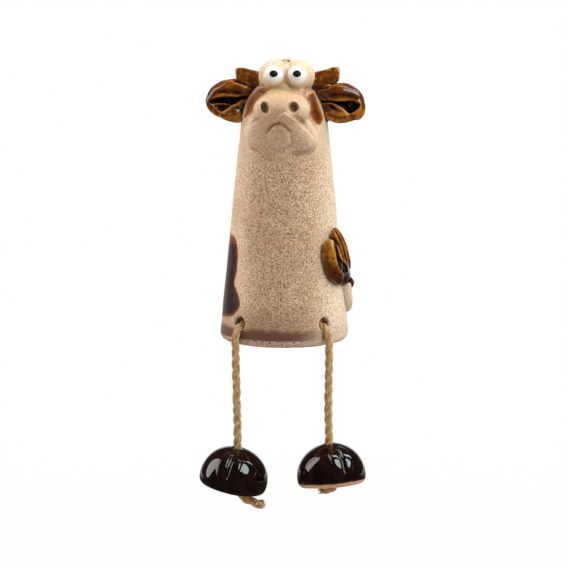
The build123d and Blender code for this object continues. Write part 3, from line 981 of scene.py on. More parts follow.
# %% [markdown]
# A horn is a stub of clay with a blunt, slightly flared end. A box is divided, and its outer
# end is opened and lifted at the top corner, before it is melted and rubbed like the rest.

# %% Horns
horn_sizes = {
    # root and end places in mm, root and end heights, lift of the end's upper corner
    "left": ((-9.5, -4.2, 129.0), (-23.7, -4.0, 132.0), 9.4, 7.6, 1.2),
    "right": ((12.6, -4.2, 128.6), (27.5, -4.0, 131.4), 9.4, 7.8, 2.6),
}
horn_depth = 7.2
horn_seeds = {"left": 2.0, "right": 6.0}
horns = {}
for side, (root, end, root_height, end_height, lift) in horn_sizes.items():
    pick()
    bpy.ops.mesh.primitive_cube_add(size=1.0)
    horn = take(f"{side}_horn_clay")
    open_mesh(horn)
    bpy.ops.mesh.subdivide(number_cuts=5)
    bpy.ops.object.mode_set(mode="OBJECT")
    box = places(horn) * MM
    out, root, end = box[:, 0] + 0.5, np.array(root), np.array(end)
    height = root_height + (end_height - root_height) * out
    box[:, 1:] *= np.sqrt(1 - 0.6 * np.clip((out - 0.7) / 0.3, 0, 1) ** 2)[:, None]
    less_high = np.clip(1 - (np.abs(box[:, 1]) * 2) ** 3 * 0.45, 0, 1)
    less_deep = np.clip(1 - (np.abs(box[:, 2]) * 2) ** 3 * 0.35, 0, 1)
    shaped = root + np.outer(out, end - root)
    shaped[:, 1] += box[:, 1] * horn_depth * (1 - 0.25 * out) * less_deep
    shaped[:, 2] += box[:, 2] * height * less_high + lift * out**2 * (box[:, 2] + 0.5)
    move_to(horn, shaped)
    face_outwards(horn)
    knead(horn, leaf_voxel, 18)
    wobble(horn, 4.0, 0.55, horn_seeds[side])
    wobble(horn, 1.8, 0.15, 2.0)
    store_relief(horn, 10)
    horns[side] = horn
print("horns:", [len(horn.data.polygons) for horn in horns.values()])

# %% [markdown]
# An ear is a leaf of clay folded on itself: a thick upper roll, a lower flap with a thin
# edge, and a deep fold between them. Balls give the rolls their bulk; the fold and its
# wrinkles are pressed in along the lines that the photograph shows.

# %% Ears
ear_lumps = {
    "right": [
        ((28.2, -2.4, 118.8), (23.8, 9.6, 19.4), (0, 4, 0)),
        ((27.4, -4.2, 122.6), (23.5, 10.4, 11.6), (0, 8, 0)),
        ((35.0, -3.6, 117.0), (11.0, 9.6, 14.0), (0, -14, 0)),
        ((27.6, -3.8, 112.8), (17.5, 8.4, 8.4), (0, 4, 0)),
        ((19.6, -2.0, 116.0), (10.0, 8.0, 16.0), (0, 0, 0)),
    ],
    "left": [
        ((-26.6, -2.4, 120.0), (23.6, 9.6, 19.8), (0, -6, 0)),
        ((-25.6, -4.2, 124.4), (23.6, 10.4, 11.4), (0, -15, 0)),
        ((-31.0, -3.4, 118.8), (15.6, 8.6, 13.4), (0, 0, 0)),
        ((-27.0, -3.8, 114.0), (17.6, 8.6, 9.2), (0, 22, 0)),
        ((-18.6, -2.0, 116.2), (9.4, 8.0, 17.6), (0, 0, 0)),
    ],
}
ear_folds = {
    # outlines in pixels of the photograph, depth and sloping edge in mm
    "right": [
        ([(315.5, 95), (321.5, 99.6), (330, 100.2), (342.7, 100.4), (350, 100.2), (357, 101.4), (361, 104.5),
          (359, 109), (353.5, 112.6), (348.5, 113.6), (343, 109.2), (337, 105.6), (331, 103.2), (324, 103.2),
          (319.5, 101.8), (315.8, 98)], 4.2, 1.5),
        ([(327.8, 105), (331.5, 105), (335.5, 107.6), (338.4, 110.4), (335, 110), (330.6, 107.6)], 2.4, 0.7),
    ],
    "left": [
        ([(207.4, 102), (213, 98.4), (220, 96), (228, 95.6), (240, 96), (249.5, 96), (248, 98.2), (240, 101),
          (236.5, 103.6), (231.5, 105.6), (227, 104.4), (221, 103.8), (212.5, 104)], 4.2, 1.5),
        ([(212, 103), (221, 103), (230, 104.6), (230.6, 106.6), (226.6, 109.6), (221.5, 112),
          (216, 109.5)], 1.7, 1.2),
    ],
}
ear_strokes = {
    # pixels of the photograph, width, depth in mm
    "right": [
        ([(322.3, 103.6), (330.5, 103.2), (337, 105.8), (346.8, 112)], 0.8, -0.5),
        ([(325, 96.5), (335, 94.5), (346, 95.5), (355, 99)], 1.6, 0.5),
        ([(326, 113), (338, 117.5), (350, 117)], 1.6, 0.5),
        ([(318, 87.6), (327, 86.4), (333, 83.4), (340, 82.4)], 1.2, 1.2),
    ],
    "left": [
        ([(223.3, 112.6), (227, 110), (231.5, 106.8), (235.7, 105), (240, 104.6)], 0.9, -0.6),
        ([(215, 93), (224, 92), (232, 94), (240, 93)], 1.4, 0.5),
        ([(228, 89), (234, 92), (242, 94)], 1.1, 0.4),
        ([(213, 108), (219, 114.5), (227, 117)], 1.3, 0.4),
        ([(233, 79), (240, 81.4), (247, 84.4), (254, 87)], 1.2, 1.2),
    ],
}
ear_seeds = {"left": 1.0, "right": 5.0}
ears = {}
for side, rows in ear_lumps.items():
    ear = join(f"{side}_ear_clay", [lump(f"roll_{k}", *row) for k, row in enumerate(rows)])
    knead(ear, leaf_voxel, 6)
    for outline, depth, edge in ear_folds[side]:
        build_up(ear, outline, -depth, edge)
    for row in ear_strokes[side]:
        draw(ear, *row)
    rub(ear, 0.5, 3)
    wobble(ear, 5.0, 0.35, ear_seeds[side])
    store_relief(ear, 16)
    store_fold_shade(ear, ear_folds[side][0][0])
    ears[side] = ear
print("ears:", [len(ear.data.polygons) for ear in ears.values()])

# %% [markdown]
# The tail is one roll of clay laid round the foot, thicker where it starts at the back, and
# its tuft is a leaf of clay combed with a stick: a broad lobe, two narrow locks beside it
# and a blunt tip.

# %% Tail
tail_angles = [176.0, 152.0, 126.0, 104.0, 91.0, 87.0]
tail_heights = [37.35, 26.35, 17.0, 15.35, 20.95, 29.7]
tail_radius, tail_root_radius, tail_standout = 3.4, 4.4, 0.5
tail_sides = 20
tail_points = [
    np.array(around(angle, wall_radius(z) + tail_standout, z)) for angle, z in zip(tail_angles, tail_heights)
]
tail_line = even_points(route_line(tail_points), 0.8)
tail_turns = np.linspace(0, 2 * math.pi, tail_sides, endpoint=False)
tail_shares = np.arange(len(tail_line)) / (len(tail_line) - 1)
tail_rings = [
    ring_round(point, first, second, tail_radius * (1.12 - 0.12 * share), tail_turns)
    for share, point, first, second in zip(tail_shares, tail_line, *carried_frames(tail_line))
]
tail = join("tail_roll", [
    tubes("roll", [np.array(tail_rings)]),
    lump("root", tail_points[0], (2 * tail_root_radius,) * 3),
    lump("tip", tail_points[-1], (2 * tail_radius,) * 3),
])
knead(tail, tail_voxel, 6)
wobble(tail, 7.0, 0.35, 2.0)
store_relief(tail, 10)

# %% Tuft
tuft_angle, tuft_height, tuft_lean = 66.0, 41.5, math.radians(20.0)
tuft_length, tuft_width, tuft_thickness = 34.0, 18.5, 11.6
tip_swing = 6.5
tuft_out = around(tuft_angle, 1.0, 0.0)
tuft_side = around(tuft_angle + 90, 1.0, 0.0)
tuft_up = Vector((0, 0, math.cos(tuft_lean))) - tuft_side * math.sin(tuft_lean)
tuft_middle = around(tuft_angle, wall_radius(tuft_height), tuft_height)
tuft_parts = {
    # across, along, out, width, length, thickness as shares of the tuft's own, turn in degrees
    "body": (0.02, -0.09, 0.0, 0.92, 0.84, 0.9, 0.0),
    "lobe": (-0.29, 0.02, 0.1, 0.62, 0.78, 0.94, 5.0),
    "lock_1": (0.16, 0.10, 0.14, 0.24, 0.78, 0.70, -8.0),
    "lock_2": (0.34, 0.08, 0.06, 0.26, 0.80, 0.72, -10.0),
    "tip": (0.12, -0.44, 0.02, 0.36, 0.32, 0.66, 0.0),
}
tuft_lumps = []
for name, (across, along, out, width, length, thick, turn) in tuft_parts.items():
    place = (across * tuft_width, -out * tuft_thickness, along * tuft_length)
    size = (width * tuft_width, thick * tuft_thickness, length * tuft_length)
    piece = lump(name, place, size, (0, turn, 0))
    pinched = places(piece)
    narrow = 1 - 0.25 * ((pinched[:, 2] - place[2]) / (size[2] / 2)) ** 4
    below = np.clip(-pinched[:, 2] / (tuft_length / 2), 0, 1)
    pinched[:, 0] = place[0] + (pinched[:, 0] - place[0]) * narrow
    pinched[:, 0] += tip_swing * below**2
    move_to(piece, pinched)
    set_up(piece, tuft_middle, tuft_up.cross(tuft_out), -tuft_out, tuft_up)
    tuft_lumps.append(piece)
tuft = join("tail_tuft_clay", tuft_lumps)
knead(tuft, leaf_voxel, 4)
tuft_fold_pixels = [
    (333.4, 237), (336.2, 240.5), (338.2, 247), (340, 255.5), (343.4, 260.8), (347, 264.6), (348.4, 271),
    (346.4, 275), (343.2, 274.1), (339.4, 269.7), (336.6, 261.4), (335, 252.4), (333.4, 245),
]
build_up(tuft, tuft_fold_pixels, -2.2, 1.2)
tuft_strokes = [
    # pixels of the photograph, width and depth in mm
    ([(334.6, 229.8), (338, 234.5), (341, 240.5), (343.8, 248), (346.3, 256), (347.6, 261)], 0.85, 1.5),
    ([(322, 243), (325.5, 246), (330, 247.5)], 1.8, -0.4),
    ([(325, 256), (330, 267), (338, 277)], 1.8, 0.25),
]
for row in tuft_strokes:
    draw(tuft, *row)
rub(tuft, 0.5, 2)
wobble(tuft, 5.0, 0.2, 3.0)
store_relief(tuft, 14)
store_fold_shade(tuft, tuft_fold_pixels)
print("tail and tuft:", len(tail.data.polygons), len(tuft.data.polygons))

# %% [markdown]
# A hoof is a thick dome of clay on a rounded edge. In front the maker pressed on two almonds
# of clay, side by side, so that they look like a cleft hoof. The dome is turned, the almonds
# are bent on to it, and the whole is melted into one skin. The cord's bore and the pocket for
# its knot are cut last, along the cord, because the hoof hangs a little askew on it.

# %% Sizes of the hooves
hoof_radius, hoof_height = 17.0, 21.0
hoof_belly_height, hoof_sole_radius = 5.0, 13.4
hoof_bore_radius = 3.0
knot_pocket_radius, knot_pocket_depth = 7.6, 9.0
knot_seat_clearance = 0.3
knot_top = 3.0 - 2.9 * math.sin(math.radians(14.0)) - cord_diameter / 2
almond_from, almond_to = 0.0, 67.0
almond_width, almond_inner, almond_rise = 4.8, 1.0, 0.8
hoof_stands = {
    # offset in mm, then lean, pitch and turn in degrees
    "left": ((-1.6, 0.0), 11.5, 0.0, -11.0),
    "right": ((0.8, 0.4), -5.6, -6.0, 27.0),
}
bare_rims = {"left": 0.0, "right": 2.2}
hoof_seeds = {"left": 2.0, "right": 7.0}

# %% Turn the dome and bend the almonds on to it
hoof_rings = []
for share in np.linspace(0, 1, 9):
    radius = hoof_sole_radius * (1 - share) ** 2 + hoof_radius * (2 * share * (1 - share) + share**2)
    hoof_rings.append((hoof_belly_height * share**2, radius))
crest = hoof_height - hoof_belly_height
for angle in np.linspace(5, 87, 18):
    a = math.radians(angle)
    hoof_rings.append((hoof_belly_height + crest * math.sin(a), hoof_radius * math.cos(a)))


def almond(name, side):
    """One half of the cleft, like half a coffee bean, bent on to the dome's front."""
    obj = lump(name, (0, 0, 0), (1000, 1000, 1000), sides=48)
    ball = places(obj) / 500
    angle = np.radians(almond_from + (almond_to - almond_from) * (ball[:, 2] + 1) / 2)
    outer = ball[:, 0] * side > 0
    girth = np.sqrt(np.clip(1 - ball[:, 2] ** 2, 0, 1))
    across = side * almond_inner * girth + ball[:, 0] * np.where(outer, almond_width, almond_inner)
    rise = -ball[:, 1] * almond_rise
    radius = hoof_radius * np.cos(angle) + rise * np.cos(angle)
    height = hoof_belly_height + crest * np.sin(angle) + rise * np.sin(angle)
    move_to(obj, np.column_stack([across, -radius, height]))
    return obj


# %% Hooves, each in its place on its cord, then cut along the cord
slit_radius = hoof_radius + almond_rise
slit = [
    (0.0, -slit_radius * math.cos(a), hoof_belly_height + (crest + almond_rise) * math.sin(a))
    for a in np.radians(np.linspace(almond_from + 6, almond_to - 5, 12))
]
pocket_rings = [
    (0.0, knot_pocket_radius - 1.4), (0.5, knot_pocket_radius - 0.5), (1.5, knot_pocket_radius),
    (16.0, knot_pocket_radius),
]
hooves = {}
for side, (offset, *angles) in hoof_stands.items():
    hoof = join(f"{side}_hoof_glazed", [
        stack_rings("dome", hoof_rings, 72), almond("almond_left", -1), almond("almond_right", 1),
    ])
    knead(hoof, hoof_voxel, 7)
    stroke(hoof, slit, 1.0, 1.5)
    rub(hoof, 0.5, 14)
    wobble(hoof, 13.0, 0.35, hoof_seeds[side])
    lean, pitch, turn = (math.radians(angle) for angle in angles)
    hoof_up = Vector((math.sin(lean), -math.sin(pitch), math.cos(lean))).normalized()
    hoof_across = hoof_up.cross(Vector((math.sin(turn), -math.cos(turn), 0.0))).normalized()
    before, cord_end = (np.array(point) for point in routes[side][-2:])
    down = Vector(unit(cord_end - before))
    pocket_roof = Vector(cord_end) - down * (knot_seat_clearance - knot_top)
    sole = pocket_roof + Vector((*offset, 0)) - hoof_up * knot_pocket_depth
    set_up(hoof, sole, hoof_across, hoof_up.cross(hoof_across), hoof_up)
    for rings, sides in ((pocket_rings, 48), ([(-24.0, hoof_bore_radius), (4.0, hoof_bore_radius)], 40)):
        cutter = stack_rings("cutter", rings, sides)
        aim(cutter, pocket_roof, down)
        cut(hoof, cutter)
    points = places(hoof)
    above_sole = (points - np.array(sole)) @ np.array(hoof_up)
    from_cord = points - np.array(pocket_roof)
    from_cord -= np.outer(from_cord @ np.array(down), np.array(down))
    in_pocket = np.linalg.norm(from_cord, axis=1) < knot_pocket_radius + 0.3
    in_pocket &= above_sole < knot_pocket_depth + 0.5
    store(hoof, "bare", np.where(in_pocket, 3.0, bare_rims[side] - above_sole))
    store_relief(hoof, 12)
    shade(hoof)
    hooves[side] = hoof
    low, high = (np.array(corner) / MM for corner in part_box(f"{side}_hoof"))
    print(side, "hoof", len(hoof.data.polygons), "faces, past the fixed box by",
          np.round(points.min(0) - low, 2), np.round(points.max(0) - high, 2))

# %% [markdown]
# Now the finishes. Each one is built from nodes that read Object coordinates, which are
# metres on the figure, or the numbers kept on the vertices. The helpers work on the material
# at hand, so a finish reads as the coats that a maker lays over one another.

# %% Helpers: nodes


def add(kind, inputs=None, **settings):
    """The outputs of a new node in the tree at hand. Its sockets are linked or set."""
    node = tree.nodes.new("ShaderNode" + kind)
    for key, value in settings.items():
        setattr(node, key, value)
    for key, value in (inputs or {}).items():
        socket = node.inputs[key]
        if isinstance(value, bpy.types.NodeSocket):
            tree.links.new(value, socket)
        else:
            socket.default_value = (*value, 1.0) if socket.type == "RGBA" else value
    return node.outputs


def start_material(name):
    """An empty material, which is then the one at hand."""
    global tree, coordinates
    material = bpy.data.materials.new(name)
    material.use_nodes = True
    tree = material.node_tree
    tree.nodes.clear()
    coordinates = add("TexCoord")["Object"]
    return material


def calc(operation, first, second=0.0, third=0.0, clamp=False):
    """One step of arithmetic on numbers or sockets."""
    inputs = {0: first, 1: second, 2: third}
    return add("Math", inputs, operation=operation, use_clamp=clamp)[0]


def times(first, second):
    """A product."""
    return calc("MULTIPLY", first, second)


def plus(first, second):
    """A sum."""
    return calc("ADD", first, second)


def grade(value, low, high, to_low=0.0, to_high=1.0, kind="SMOOTHSTEP"):
    """A number graded from one range to another, clamped."""
    inputs = {"Value": value, "From Min": low, "From Max": high, "To Min": to_low, "To Max": to_high}
    return add("MapRange", inputs, interpolation_type=kind)["Result"]


def blend(share, first, second):
    """A colour between two others."""
    return add("Mix", {0: share, 6: first, 7: second}, data_type="RGBA")[2]


def coat(colour, *coats):
    """Coats over a colour: each a number, its range, the coat's share at both ends, its colour."""
    for value, low, high, to_low, to_high, over in coats:
        colour = blend(grade(value, low, high, to_low, to_high), colour, over)
    return colour


def between(share, first, second):
    """A number between two others."""
    return add("Mix", {0: share, 2: first, 3: second})[0]


def mottle(size, detail=2.0, roughness=0.5, distortion=0.0):
    """Soft noise whose patches have a size in mm, centred on one half."""
    return add("TexNoise", {
        "Vector": coordinates, "Scale": 1000.0 / size, "Detail": detail,
        "Roughness": roughness, "Distortion": distortion,
    })["Fac"]


def waver(size, reach):
    """A slow drift to both sides of nought, over a size in mm, with a full reach."""
    return times(calc("SUBTRACT", mottle(size), 0.5), reach)


def specks(size, share, edge=0.12):
    """Round specks: one in each cell of a size in mm, in a share of the cells."""
    cells = add("TexVoronoi", {"Vector": coordinates, "Scale": 1000.0 / size, "Randomness": 1.0})
    chosen = add("SeparateColor", {"Color": cells["Color"]})
    radius = plus(times(chosen["Green"], 0.28), 0.12)
    spot = grade(calc("SUBTRACT", radius, cells["Distance"]), -edge, edge * 0.5)
    return times(spot, calc("LESS_THAN", chosen["Red"], share))


def kept(name):
    """A number kept on the vertices."""
    return add("Attribute", attribute_name=name)["Fac"]


def axes(place):
    """The three numbers of a place."""
    return add("SeparateXYZ", {0: place})


def measure(operation, first, second=(0.0, 0.0, 0.0)):
    """One number from one or two places or directions."""
    return add("VectorMath", {0: first, 1: second}, operation=operation)["Value"]


def bumped(height, distance, strength):
    """The surface's own normal with a height in mm raised on it."""
    return add("Bump", {"Height": height, "Distance": distance * MM, "Strength": strength})[0]


def ray_kinds():
    """Whether a ray was mirrored by a gloss, and whether the camera looks along it."""
    rays = add("LightPath")
    return rays["Is Glossy Ray"], calc("MAXIMUM", rays["Is Camera Ray"], rays["Is Transmission Ray"])


def surface(colour, roughness, **others):
    """The principled shader of a finish."""
    inputs = {"Base Color": colour, "Roughness": roughness}
    inputs.update({socket.replace("_", " "): value for socket, value in others.items()})
    shader = add("BsdfPrincipled", inputs)
    add("OutputMaterial", {"Surface": shader[0]})


# %% [markdown]
# The brown glaze is iron-rich: it is nearly black where it pools in folds, and breaks to
# amber where it runs thin over an edge. The relief kept on the vertices says which is which.
# The same colours are needed on the body's patches, so they come from one function. The deep
# folds of the ears and the valley of the tuft also get painted shade, near black.

# %% Colours of the brown glaze


def brown_colours(thinness, depth_colour, middle_colour, thin_colour):
    """Glaze colour by how thin it lies, with the streaks of the firing."""
    streaks = mottle(2.2, 3.0, 0.6, 0.5)
    fine = mottle(0.7, 2.0, 0.6)
    varied = calc("MULTIPLY_ADD", streaks, 0.9, calc("SUBTRACT", thinness, 0.45))
    varied = calc("MULTIPLY_ADD", fine, 0.34, calc("SUBTRACT", varied, 0.17))
    low = blend(grade(varied, 0.05, 0.5), depth_colour, middle_colour)
    return blend(grade(varied, 0.5, 1.0), low, thin_colour)


# %% [markdown]
# The cream glaze is semi-matt and full of specks, and dark at the foot. Painted light and
# shade lie in it too: a painted highlight where it stands proud, painted shade brown in the
# creases and dark in the hollows, painted light on the right side and the crown, and painted
# shade down the front middle. Each of these is one coat with a range of its own, laid on in
# the order in which one covers the other.

# %% Cream glaze
cream_colour = (0.66, 0.475, 0.31)
pale_and_lit_cream = (0.76, 0.62, 0.46)
cream_shade = (0.58, 0.395, 0.245)
painted_crease_shade = (0.30, 0.165, 0.095)
straw_colour = (0.60, 0.43, 0.19)
grain_colour = (0.27, 0.155, 0.09)
dot_colour = (0.13, 0.06, 0.035)
toast_and_painted_shade = (0.44, 0.225, 0.10)
painted_hollow_shade = (0.11, 0.055, 0.032)
foot_colour = (0.12, 0.046, 0.024)
frost_colour = (0.58, 0.40, 0.30)
clay_colour, clay_dark = (0.52, 0.27, 0.13), (0.38, 0.18, 0.085)
patch_dark = (0.022, 0.004, 0.001)
patch_middle = (0.17, 0.040, 0.007)
patch_amber = (0.42, 0.15, 0.025)

cream_glaze = start_material("cream_glaze")
place = add("VectorMath", {0: coordinates, "Scale": 1 / MM}, operation="SCALE")[0]
across_mm, _, height_mm = axes(place)
cloud = mottle(14.0, 3.0)
proud = kept("relief")
from_middle = calc("ABSOLUTE", calc("SUBTRACT", across_mm, 1.0))
from_cheeks = measure("DISTANCE", place, (0.5, -19.0, 125.5))
from_nose = measure("DISTANCE", place, (0.4, -29.0, 114.0))
pepper = mottle(0.72, 1.0)
flecks = mottle(1.2, 2.0, 0.6)
colour = coat(
    blend(grade(cloud, 0.36, 0.64), cream_shade, cream_colour),
    # Painted highlight where the clay stands proud, and painted shade, brown in the creases and dark in the
    # hollows
    (proud, 0.05, 0.3, 0.0, 0.35, pale_and_lit_cream),
    (proud, -0.03, -0.24, 0.0, 0.75, painted_crease_shade),
    (proud, -0.3, -0.8, 0.0, 0.85, painted_hollow_shade),
    (from_cheeks, 11.0, 2.0, 0.0, 0.7, straw_colour),
    # Painted shade: darker down the front middle, where less light falls than on the sides
    (from_middle, 9.0, 24.0, 0.34, 0.0, toast_and_painted_shade),
    # Painted light: paler on the right side, where the lamps on the right fall
    (across_mm, 15.0, 27.0, 0.0, 0.6, pale_and_lit_cream),
    # Painted light: paler on the crown, where light falls from above
    (height_mm, 126.0, 138.0, 0.0, 0.55, pale_and_lit_cream),
    (from_nose, 14.0, 6.0, 0.0, 0.42, toast_and_painted_shade),
    (flecks, 0.54, 0.70, 0.0, 0.45, pale_and_lit_cream),
)

# %% Specks in the cream, the dark band at the foot and the frost below it
# Specks stand thicker down the front middle than at the sides, which paints shade there, and thinner up on
# the face
speck_share_and_shade = grade(from_middle, 8.0, 27.0, 0.86, 0.5)
speck_share_and_shade = times(speck_share_and_shade, grade(height_mm, 84.0, 108.0, 1.08, 0.42))
colour = blend(times(grade(pepper, 0.40, 0.62), speck_share_and_shade), colour, grain_colour)
colour = blend(times(times(specks(1.25, 0.45, 0.10), speck_share_and_shade), 0.75), colour, dot_colour)
band_height = plus(height_mm, waver(8.0, 4.0))
band = calc("MAXIMUM", grade(band_height, 11.6, 7.0), grade(band_height, 25.0, 8.0, 0.0, 0.42))
band = times(band, grade(across_mm, 6.0, 24.0, 1.0, 0.22))
band = times(band, grade(pepper, 0.30, 0.56, 1.15, 0.9))
colour = blend(band, colour, foot_colour)
frost = times(grade(height_mm, 4.4, 3.0), grade(pepper, 0.34, 0.5))
colour = blend(times(frost, 0.85), colour, frost_colour)

# %% Brown patches and bare clay on the same skin
edge_blur = 0.12
patch_inside = plus(kept("patch"), waver(2.2, 0.5))
thin_edge = grade(patch_inside, 2.0, 0.0, 0.06, 0.62)
thin_edge = plus(thin_edge, grade(height_mm, 43.0, 57.0, 0.0, 0.5))
thin_edge = plus(thin_edge, grade(height_mm, 84.0, 94.0, 0.0, -0.28))
on_patch = grade(patch_inside, -edge_blur, edge_blur)
colour = blend(on_patch, colour, brown_colours(thin_edge, patch_dark, patch_middle, patch_amber))
on_bare = grade(plus(kept("bare"), waver(3.0, 0.6)), -edge_blur, edge_blur)
colour = blend(on_bare, colour, blend(grade(pepper, 0.35, 0.7), clay_colour, clay_dark))
gloss = calc("MULTIPLY_ADD", cloud, 0.2, 0.32)
gloss = calc("MULTIPLY_ADD", on_patch, -0.08, gloss, clamp=True)
gloss = calc("MULTIPLY_ADD", on_bare, 0.45, gloss, clamp=True)
raised = calc("MULTIPLY_ADD", grade(patch_inside, -0.2, 0.7), 5.0, plus(pepper, cloud))
surface(colour, gloss, Normal=bumped(raised, 0.03, 0.6), Specular_IOR_Level=0.22)
print("cream glaze:", len(tree.nodes), "nodes")

# %% Brown glaze of the ears, the horns and the tuft
brown_dark, brown_middle, brown_amber = (0.016, 0.003, 0.001), (0.11, 0.024, 0.002), (0.40, 0.155, 0.016)
painted_fold_shade = (0.006, 0.002, 0.001)

brown_glaze = start_material("brown_glaze")
height = axes(coordinates)["Z"]
thinness = grade(kept("relief"), -0.22, 0.44, 0.05, 0.95, kind="LINEAR")
# The ears are paler below, the horns above, and the tip of the tuft is dark
thinness = plus(thinness, grade(height, 0.121, 0.111, -0.17, 0.2))
thinness = plus(thinness, grade(height, 0.1245, 0.128, 0.0, 0.28))
thinness = plus(thinness, grade(height, 0.045, 0.031, 0.0, -0.5))
colour = brown_colours(thinness, brown_dark, brown_middle, brown_amber)
# Painted shade: inside the outline of a deep fold the glaze is laid near black
colour = coat(colour, (kept("fold"), -0.2, 0.9, 0.0, 0.94, painted_fold_shade))
ripple = mottle(1.3, 3.0)
gloss = calc("MULTIPLY_ADD", ripple, 0.1, 0.09)
surface(colour, gloss, Normal=bumped(ripple, 0.12, 0.5), IOR=1.52)

# %% [markdown]
# The hooves have the same glaze poured thick: near black and wet-looking, brown where it
# thins at the rim, with bare clay at the sole. The eyes are a softer white that yellows
# towards the brow, and the pupils a satin black that mirrors little.

# %% Hoof glaze
hoof_black, hoof_brown = (0.004, 0.001, 0.0008), (0.011, 0.0027, 0.0015)
hoof_thin, hoof_rim = (0.05, 0.014, 0.004), (0.085, 0.022, 0.008)
sole_pale, sole_dark = (0.56, 0.30, 0.165), (0.42, 0.215, 0.12)

hoof_glaze = start_material("hoof_glaze")
pool = mottle(7.0)
grain = mottle(0.5)
bare = plus(kept("bare"), waver(5.0, 1.1))
on_bare = grade(bare, -0.15, 0.15)
colour = coat(
    hoof_black,
    (pool, 0.4, 0.62, 0.0, 1.0, hoof_brown),
    (kept("relief"), 0.12, 0.4, 0.0, 0.2, hoof_thin),
    (bare, -1.0, -0.1, 0.0, 0.6, hoof_rim),
)
colour = blend(on_bare, colour, blend(grain, sole_pale, sole_dark))
height = calc("MULTIPLY_ADD", on_bare, grain, pool)
gloss = calc("MULTIPLY_ADD", on_bare, 0.6, 0.045)
surface(colour, gloss, Normal=bumped(height, 0.04, 0.25), IOR=1.6)

# %% Eye white and pupil
eye_yellow, eye_white, pinhole = (0.60, 0.43, 0.25), (0.75, 0.69, 0.64), (0.45, 0.36, 0.28)
pupil_black, pupil_grey = (0.001, 0.001, 0.001), (0.005, 0.004, 0.003)

eye_glaze = start_material("eye_glaze")
whiteness = grade(plus(kept("from_rim"), waver(1.4, 0.12)), 0.46, 0.84)
colour = blend(whiteness, eye_yellow, eye_white)
colour = blend(times(specks(1.8, 0.12), 0.25), colour, pinhole)
surface(colour, 0.28, Normal=bumped(mottle(2.4), 0.05, 0.4), IOR=1.5)

pupil_glaze = start_material("pupil_glaze")
crackle = mottle(0.5, 3.0, 0.6)
colour = blend(crackle, pupil_black, pupil_grey)
gloss = calc("MULTIPLY_ADD", crackle, 0.2, 0.45)
surface(colour, gloss, Normal=bumped(crackle, 0.05, 0.5), IOR=1.3)

# %% [markdown]
# Jute is straw-coloured fibre. Its streaks run along each ply, so they are read from the
# numbers kept along and around it and not from Object coordinates.

# %% Jute
jute_dark, jute_pale, jute_brown = (0.20, 0.095, 0.034), (0.62, 0.385, 0.165), (0.44, 0.21, 0.07)
fibre_dull, fibre_straw = (0.42, 0.33, 0.25), (0.62, 0.44, 0.22)

jute = start_material("jute_cord")
lengthwise = add("CombineXYZ", {"X": times(kept("along"), 0.22), "Y": times(kept("around"), 9.0)})
fibre = add("TexNoise", {
    "Vector": lengthwise[0], "Scale": 2.2, "Detail": 3.0, "Roughness": 0.65,
})["Fac"]
colour = coat(
    jute_dark, (fibre, 0.34, 0.66, 0.0, 1.0, jute_pale), (mottle(5.0), 0.5, 0.72, 0.0, 0.35, jute_brown)
)
surface(colour, 0.82, Normal=bumped(fibre, 0.12, 0.8), IOR=1.45)

fuzz_finish = start_material("jute_fibre")
surface(blend(mottle(4.0), fibre_dull, fibre_straw), 0.8, IOR=1.45)

# %% Put the finishes on
finishes = {
    cream_glaze: [body, forelock, tail],
    brown_glaze: [*ears.values(), *horns.values(), tuft],
    hoof_glaze: [*hooves.values()],
    eye_glaze: [*eyeballs.values()],
    pupil_glaze: [*pupils.values()],
    jute: [*cords.values(), *inner_knots.values(), *hoof_knots.values(), *tip_fibres.values()],
    fuzz_finish: [*fuzz.values()],
}
nowhere = {"patch": [forelock, tail], "bare": [forelock, tail], "fold": [*horns.values()]}
for name, pieces in nowhere.items():
    for piece in pieces:
        store(piece, name, np.full(len(piece.data.vertices), far_outside))
for finish, pieces in finishes.items():
    for piece in pieces:
        piece.data.materials.clear()
        piece.data.materials.append(finish)
print("finishes:", {finish.name: len(pieces) for finish, pieces in finishes.items()})

# %% [markdown]
# The light is a product studio's: one tall softbox on the left, a smaller and stronger one on
# the right, a strip high up on the right, and a white wall behind the figure, while the room
# behind the camera is dim. The glossy hooves mirror all of it, so the places of the softboxes
# are those of the highlights there, and the white wall shows in them only at a grazing angle.

# %% Softboxes


def softbox(name, azimuth, elevation, distance, size, radiance, colour):
    """An area lamp that looks at the figure, by its direction from the picture's axis in degrees."""
    back = direction_to(view_azimuth + math.radians(azimuth), math.radians(elevation))
    pick()
    bpy.ops.object.light_add(
        type="AREA", location=view_target + back * distance, rotation=back.to_track_quat("Z", "Y").to_euler()
    )
    lamp = bpy.context.object
    lamp.name = name
    lamp.data.shape = "ELLIPSE"
    lamp.data.size, lamp.data.size_y = size
    lamp.data.energy = radiance * math.pi * size[0] * size[1] * math.pi / 4
    lamp.data.color = colour


softbox("softbox_left", -97.0, 27.0, 1.0, (0.60, 1.15), 3.8, (1.0, 0.97, 0.92))
softbox("softbox_right", 53.0, 41.0, 1.0, (0.60, 0.86), 7.2, (0.86, 0.96, 1.0))
softbox("strip_right", 104.0, 60.0, 1.1, (0.16, 1.1), 8.0, (1.0, 1.0, 1.0))

# %% Room, bright behind the figure and dim in what the glazes mirror
white = (1.0, 1.0, 1.0)
world = bpy.data.worlds.new("studio_room")
bpy.context.scene.world = world
world.use_nodes = True
tree = world.node_tree
tree.nodes.clear()
direction = add("TexCoord")["Generated"]
away = measure("DOT_PRODUCT", direction, tuple(-view_back))
by_gloss, by_camera = ray_kinds()
lit = grade(calc("MULTIPLY_ADD", axes(direction)["Z"], 0.7, away), -0.5, 0.8, 0.22, 1.95)
mirrored = grade(away, 0.82, 1.0, 0.04, 1.0)
level = between(by_camera, between(by_gloss, lit, mirrored), 1.0)
room = add("Background", {"Color": white, "Strength": level})
add("OutputWorld", {"Surface": room[0]})

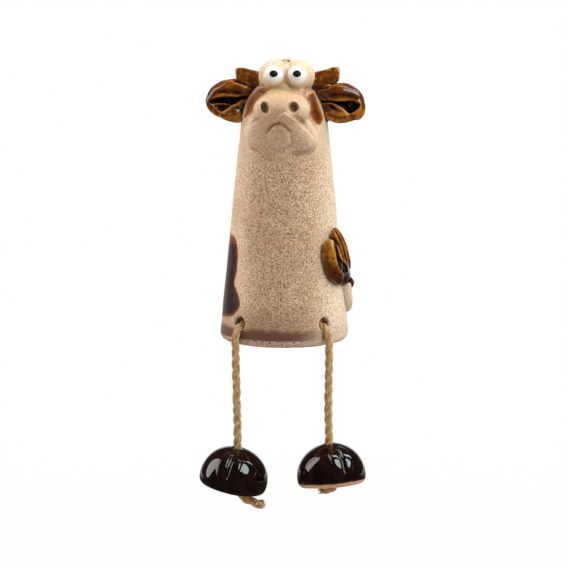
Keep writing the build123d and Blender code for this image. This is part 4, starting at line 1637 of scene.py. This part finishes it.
# %% Floor, grey paper to the light and white to the camera
floor_height, floor_radius = -0.27, 4.0
pick()
bpy.ops.mesh.primitive_circle_add(
    vertices=96, radius=floor_radius, fill_type="NGON", location=(0, 0, floor_height)
)
floor = take("studio_floor")
floor.data.materials.append(start_material("floor_paper"))
spread = measure("LENGTH", coordinates)
paper = add("BsdfDiffuse", {"Color": (0.5, 0.5, 0.5)})
by_gloss, by_camera = ray_kinds()
mirrored = grade(axes(coordinates)["Y"], 0.3, 2.5, 0.045, 1.0)
glow = add("Emission", {"Color": white, "Strength": between(by_gloss, 1.0, mirrored)})
whiteness = calc("MAXIMUM", times(by_camera, grade(spread, 0.35, 1.1, 0.86, 1.0)), by_gloss)
mixed = add("MixShader", {0: whiteness, 1: paper[0], 2: glow[0]})
add("OutputMaterial", {"Surface": mixed[0]})
bpy.context.scene.view_settings.view_transform = "Standard"

# %% [markdown]
# Last, the pieces are told which body they move with and which fixed parts they stand for,
# and those parts are hidden. A cord keeps the place it was made in, and its knots ride on
# what they are tied to.

# %% Pieces that are fired to the body
stands_for = {
    body: (["body_shell", "eye_mound", "nose_pad", "upper_lip", "chin"], "cream_glaze"),
    forelock: (["forelock"], "cream_glaze"),
    tail: (["tail"], "cream_glaze"),
    tuft: (["tail_tuft"], "brown_glaze"),
}
for side in routes:
    stands_for[eyeballs[side]] = ([f"{side}_eyeball"], "eye_glaze")
    stands_for[pupils[side]] = ([f"{side}_pupil"], "pupil_glaze")
    stands_for[horns[side]] = ([f"{side}_horn"], "brown_glaze")
    stands_for[ears[side]] = ([f"{side}_ear"], "brown_glaze")
for piece, (nodes, slot) in stands_for.items():
    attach(piece, "figure")
    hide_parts(*nodes)

# %% Legs
for side, route in routes.items():
    inside, corner, below = (Vector(point) for point in route[:3])
    for piece in (cords[side], fuzz[side]):
        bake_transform(piece)
    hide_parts(f"{side}_cord_bend", f"{side}_leg_cord")
    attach(inner_knots[side], f"{side}_hip")
    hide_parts(f"{side}_inner_knot")
    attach(hoof_knots[side], f"{side}_knot")
    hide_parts(f"{side}_hoof_knot")
    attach(tip_fibres[side], f"{side}_knot")
    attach(hooves[side], f"{side}_hoof")
    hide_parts(f"{side}_hoof")
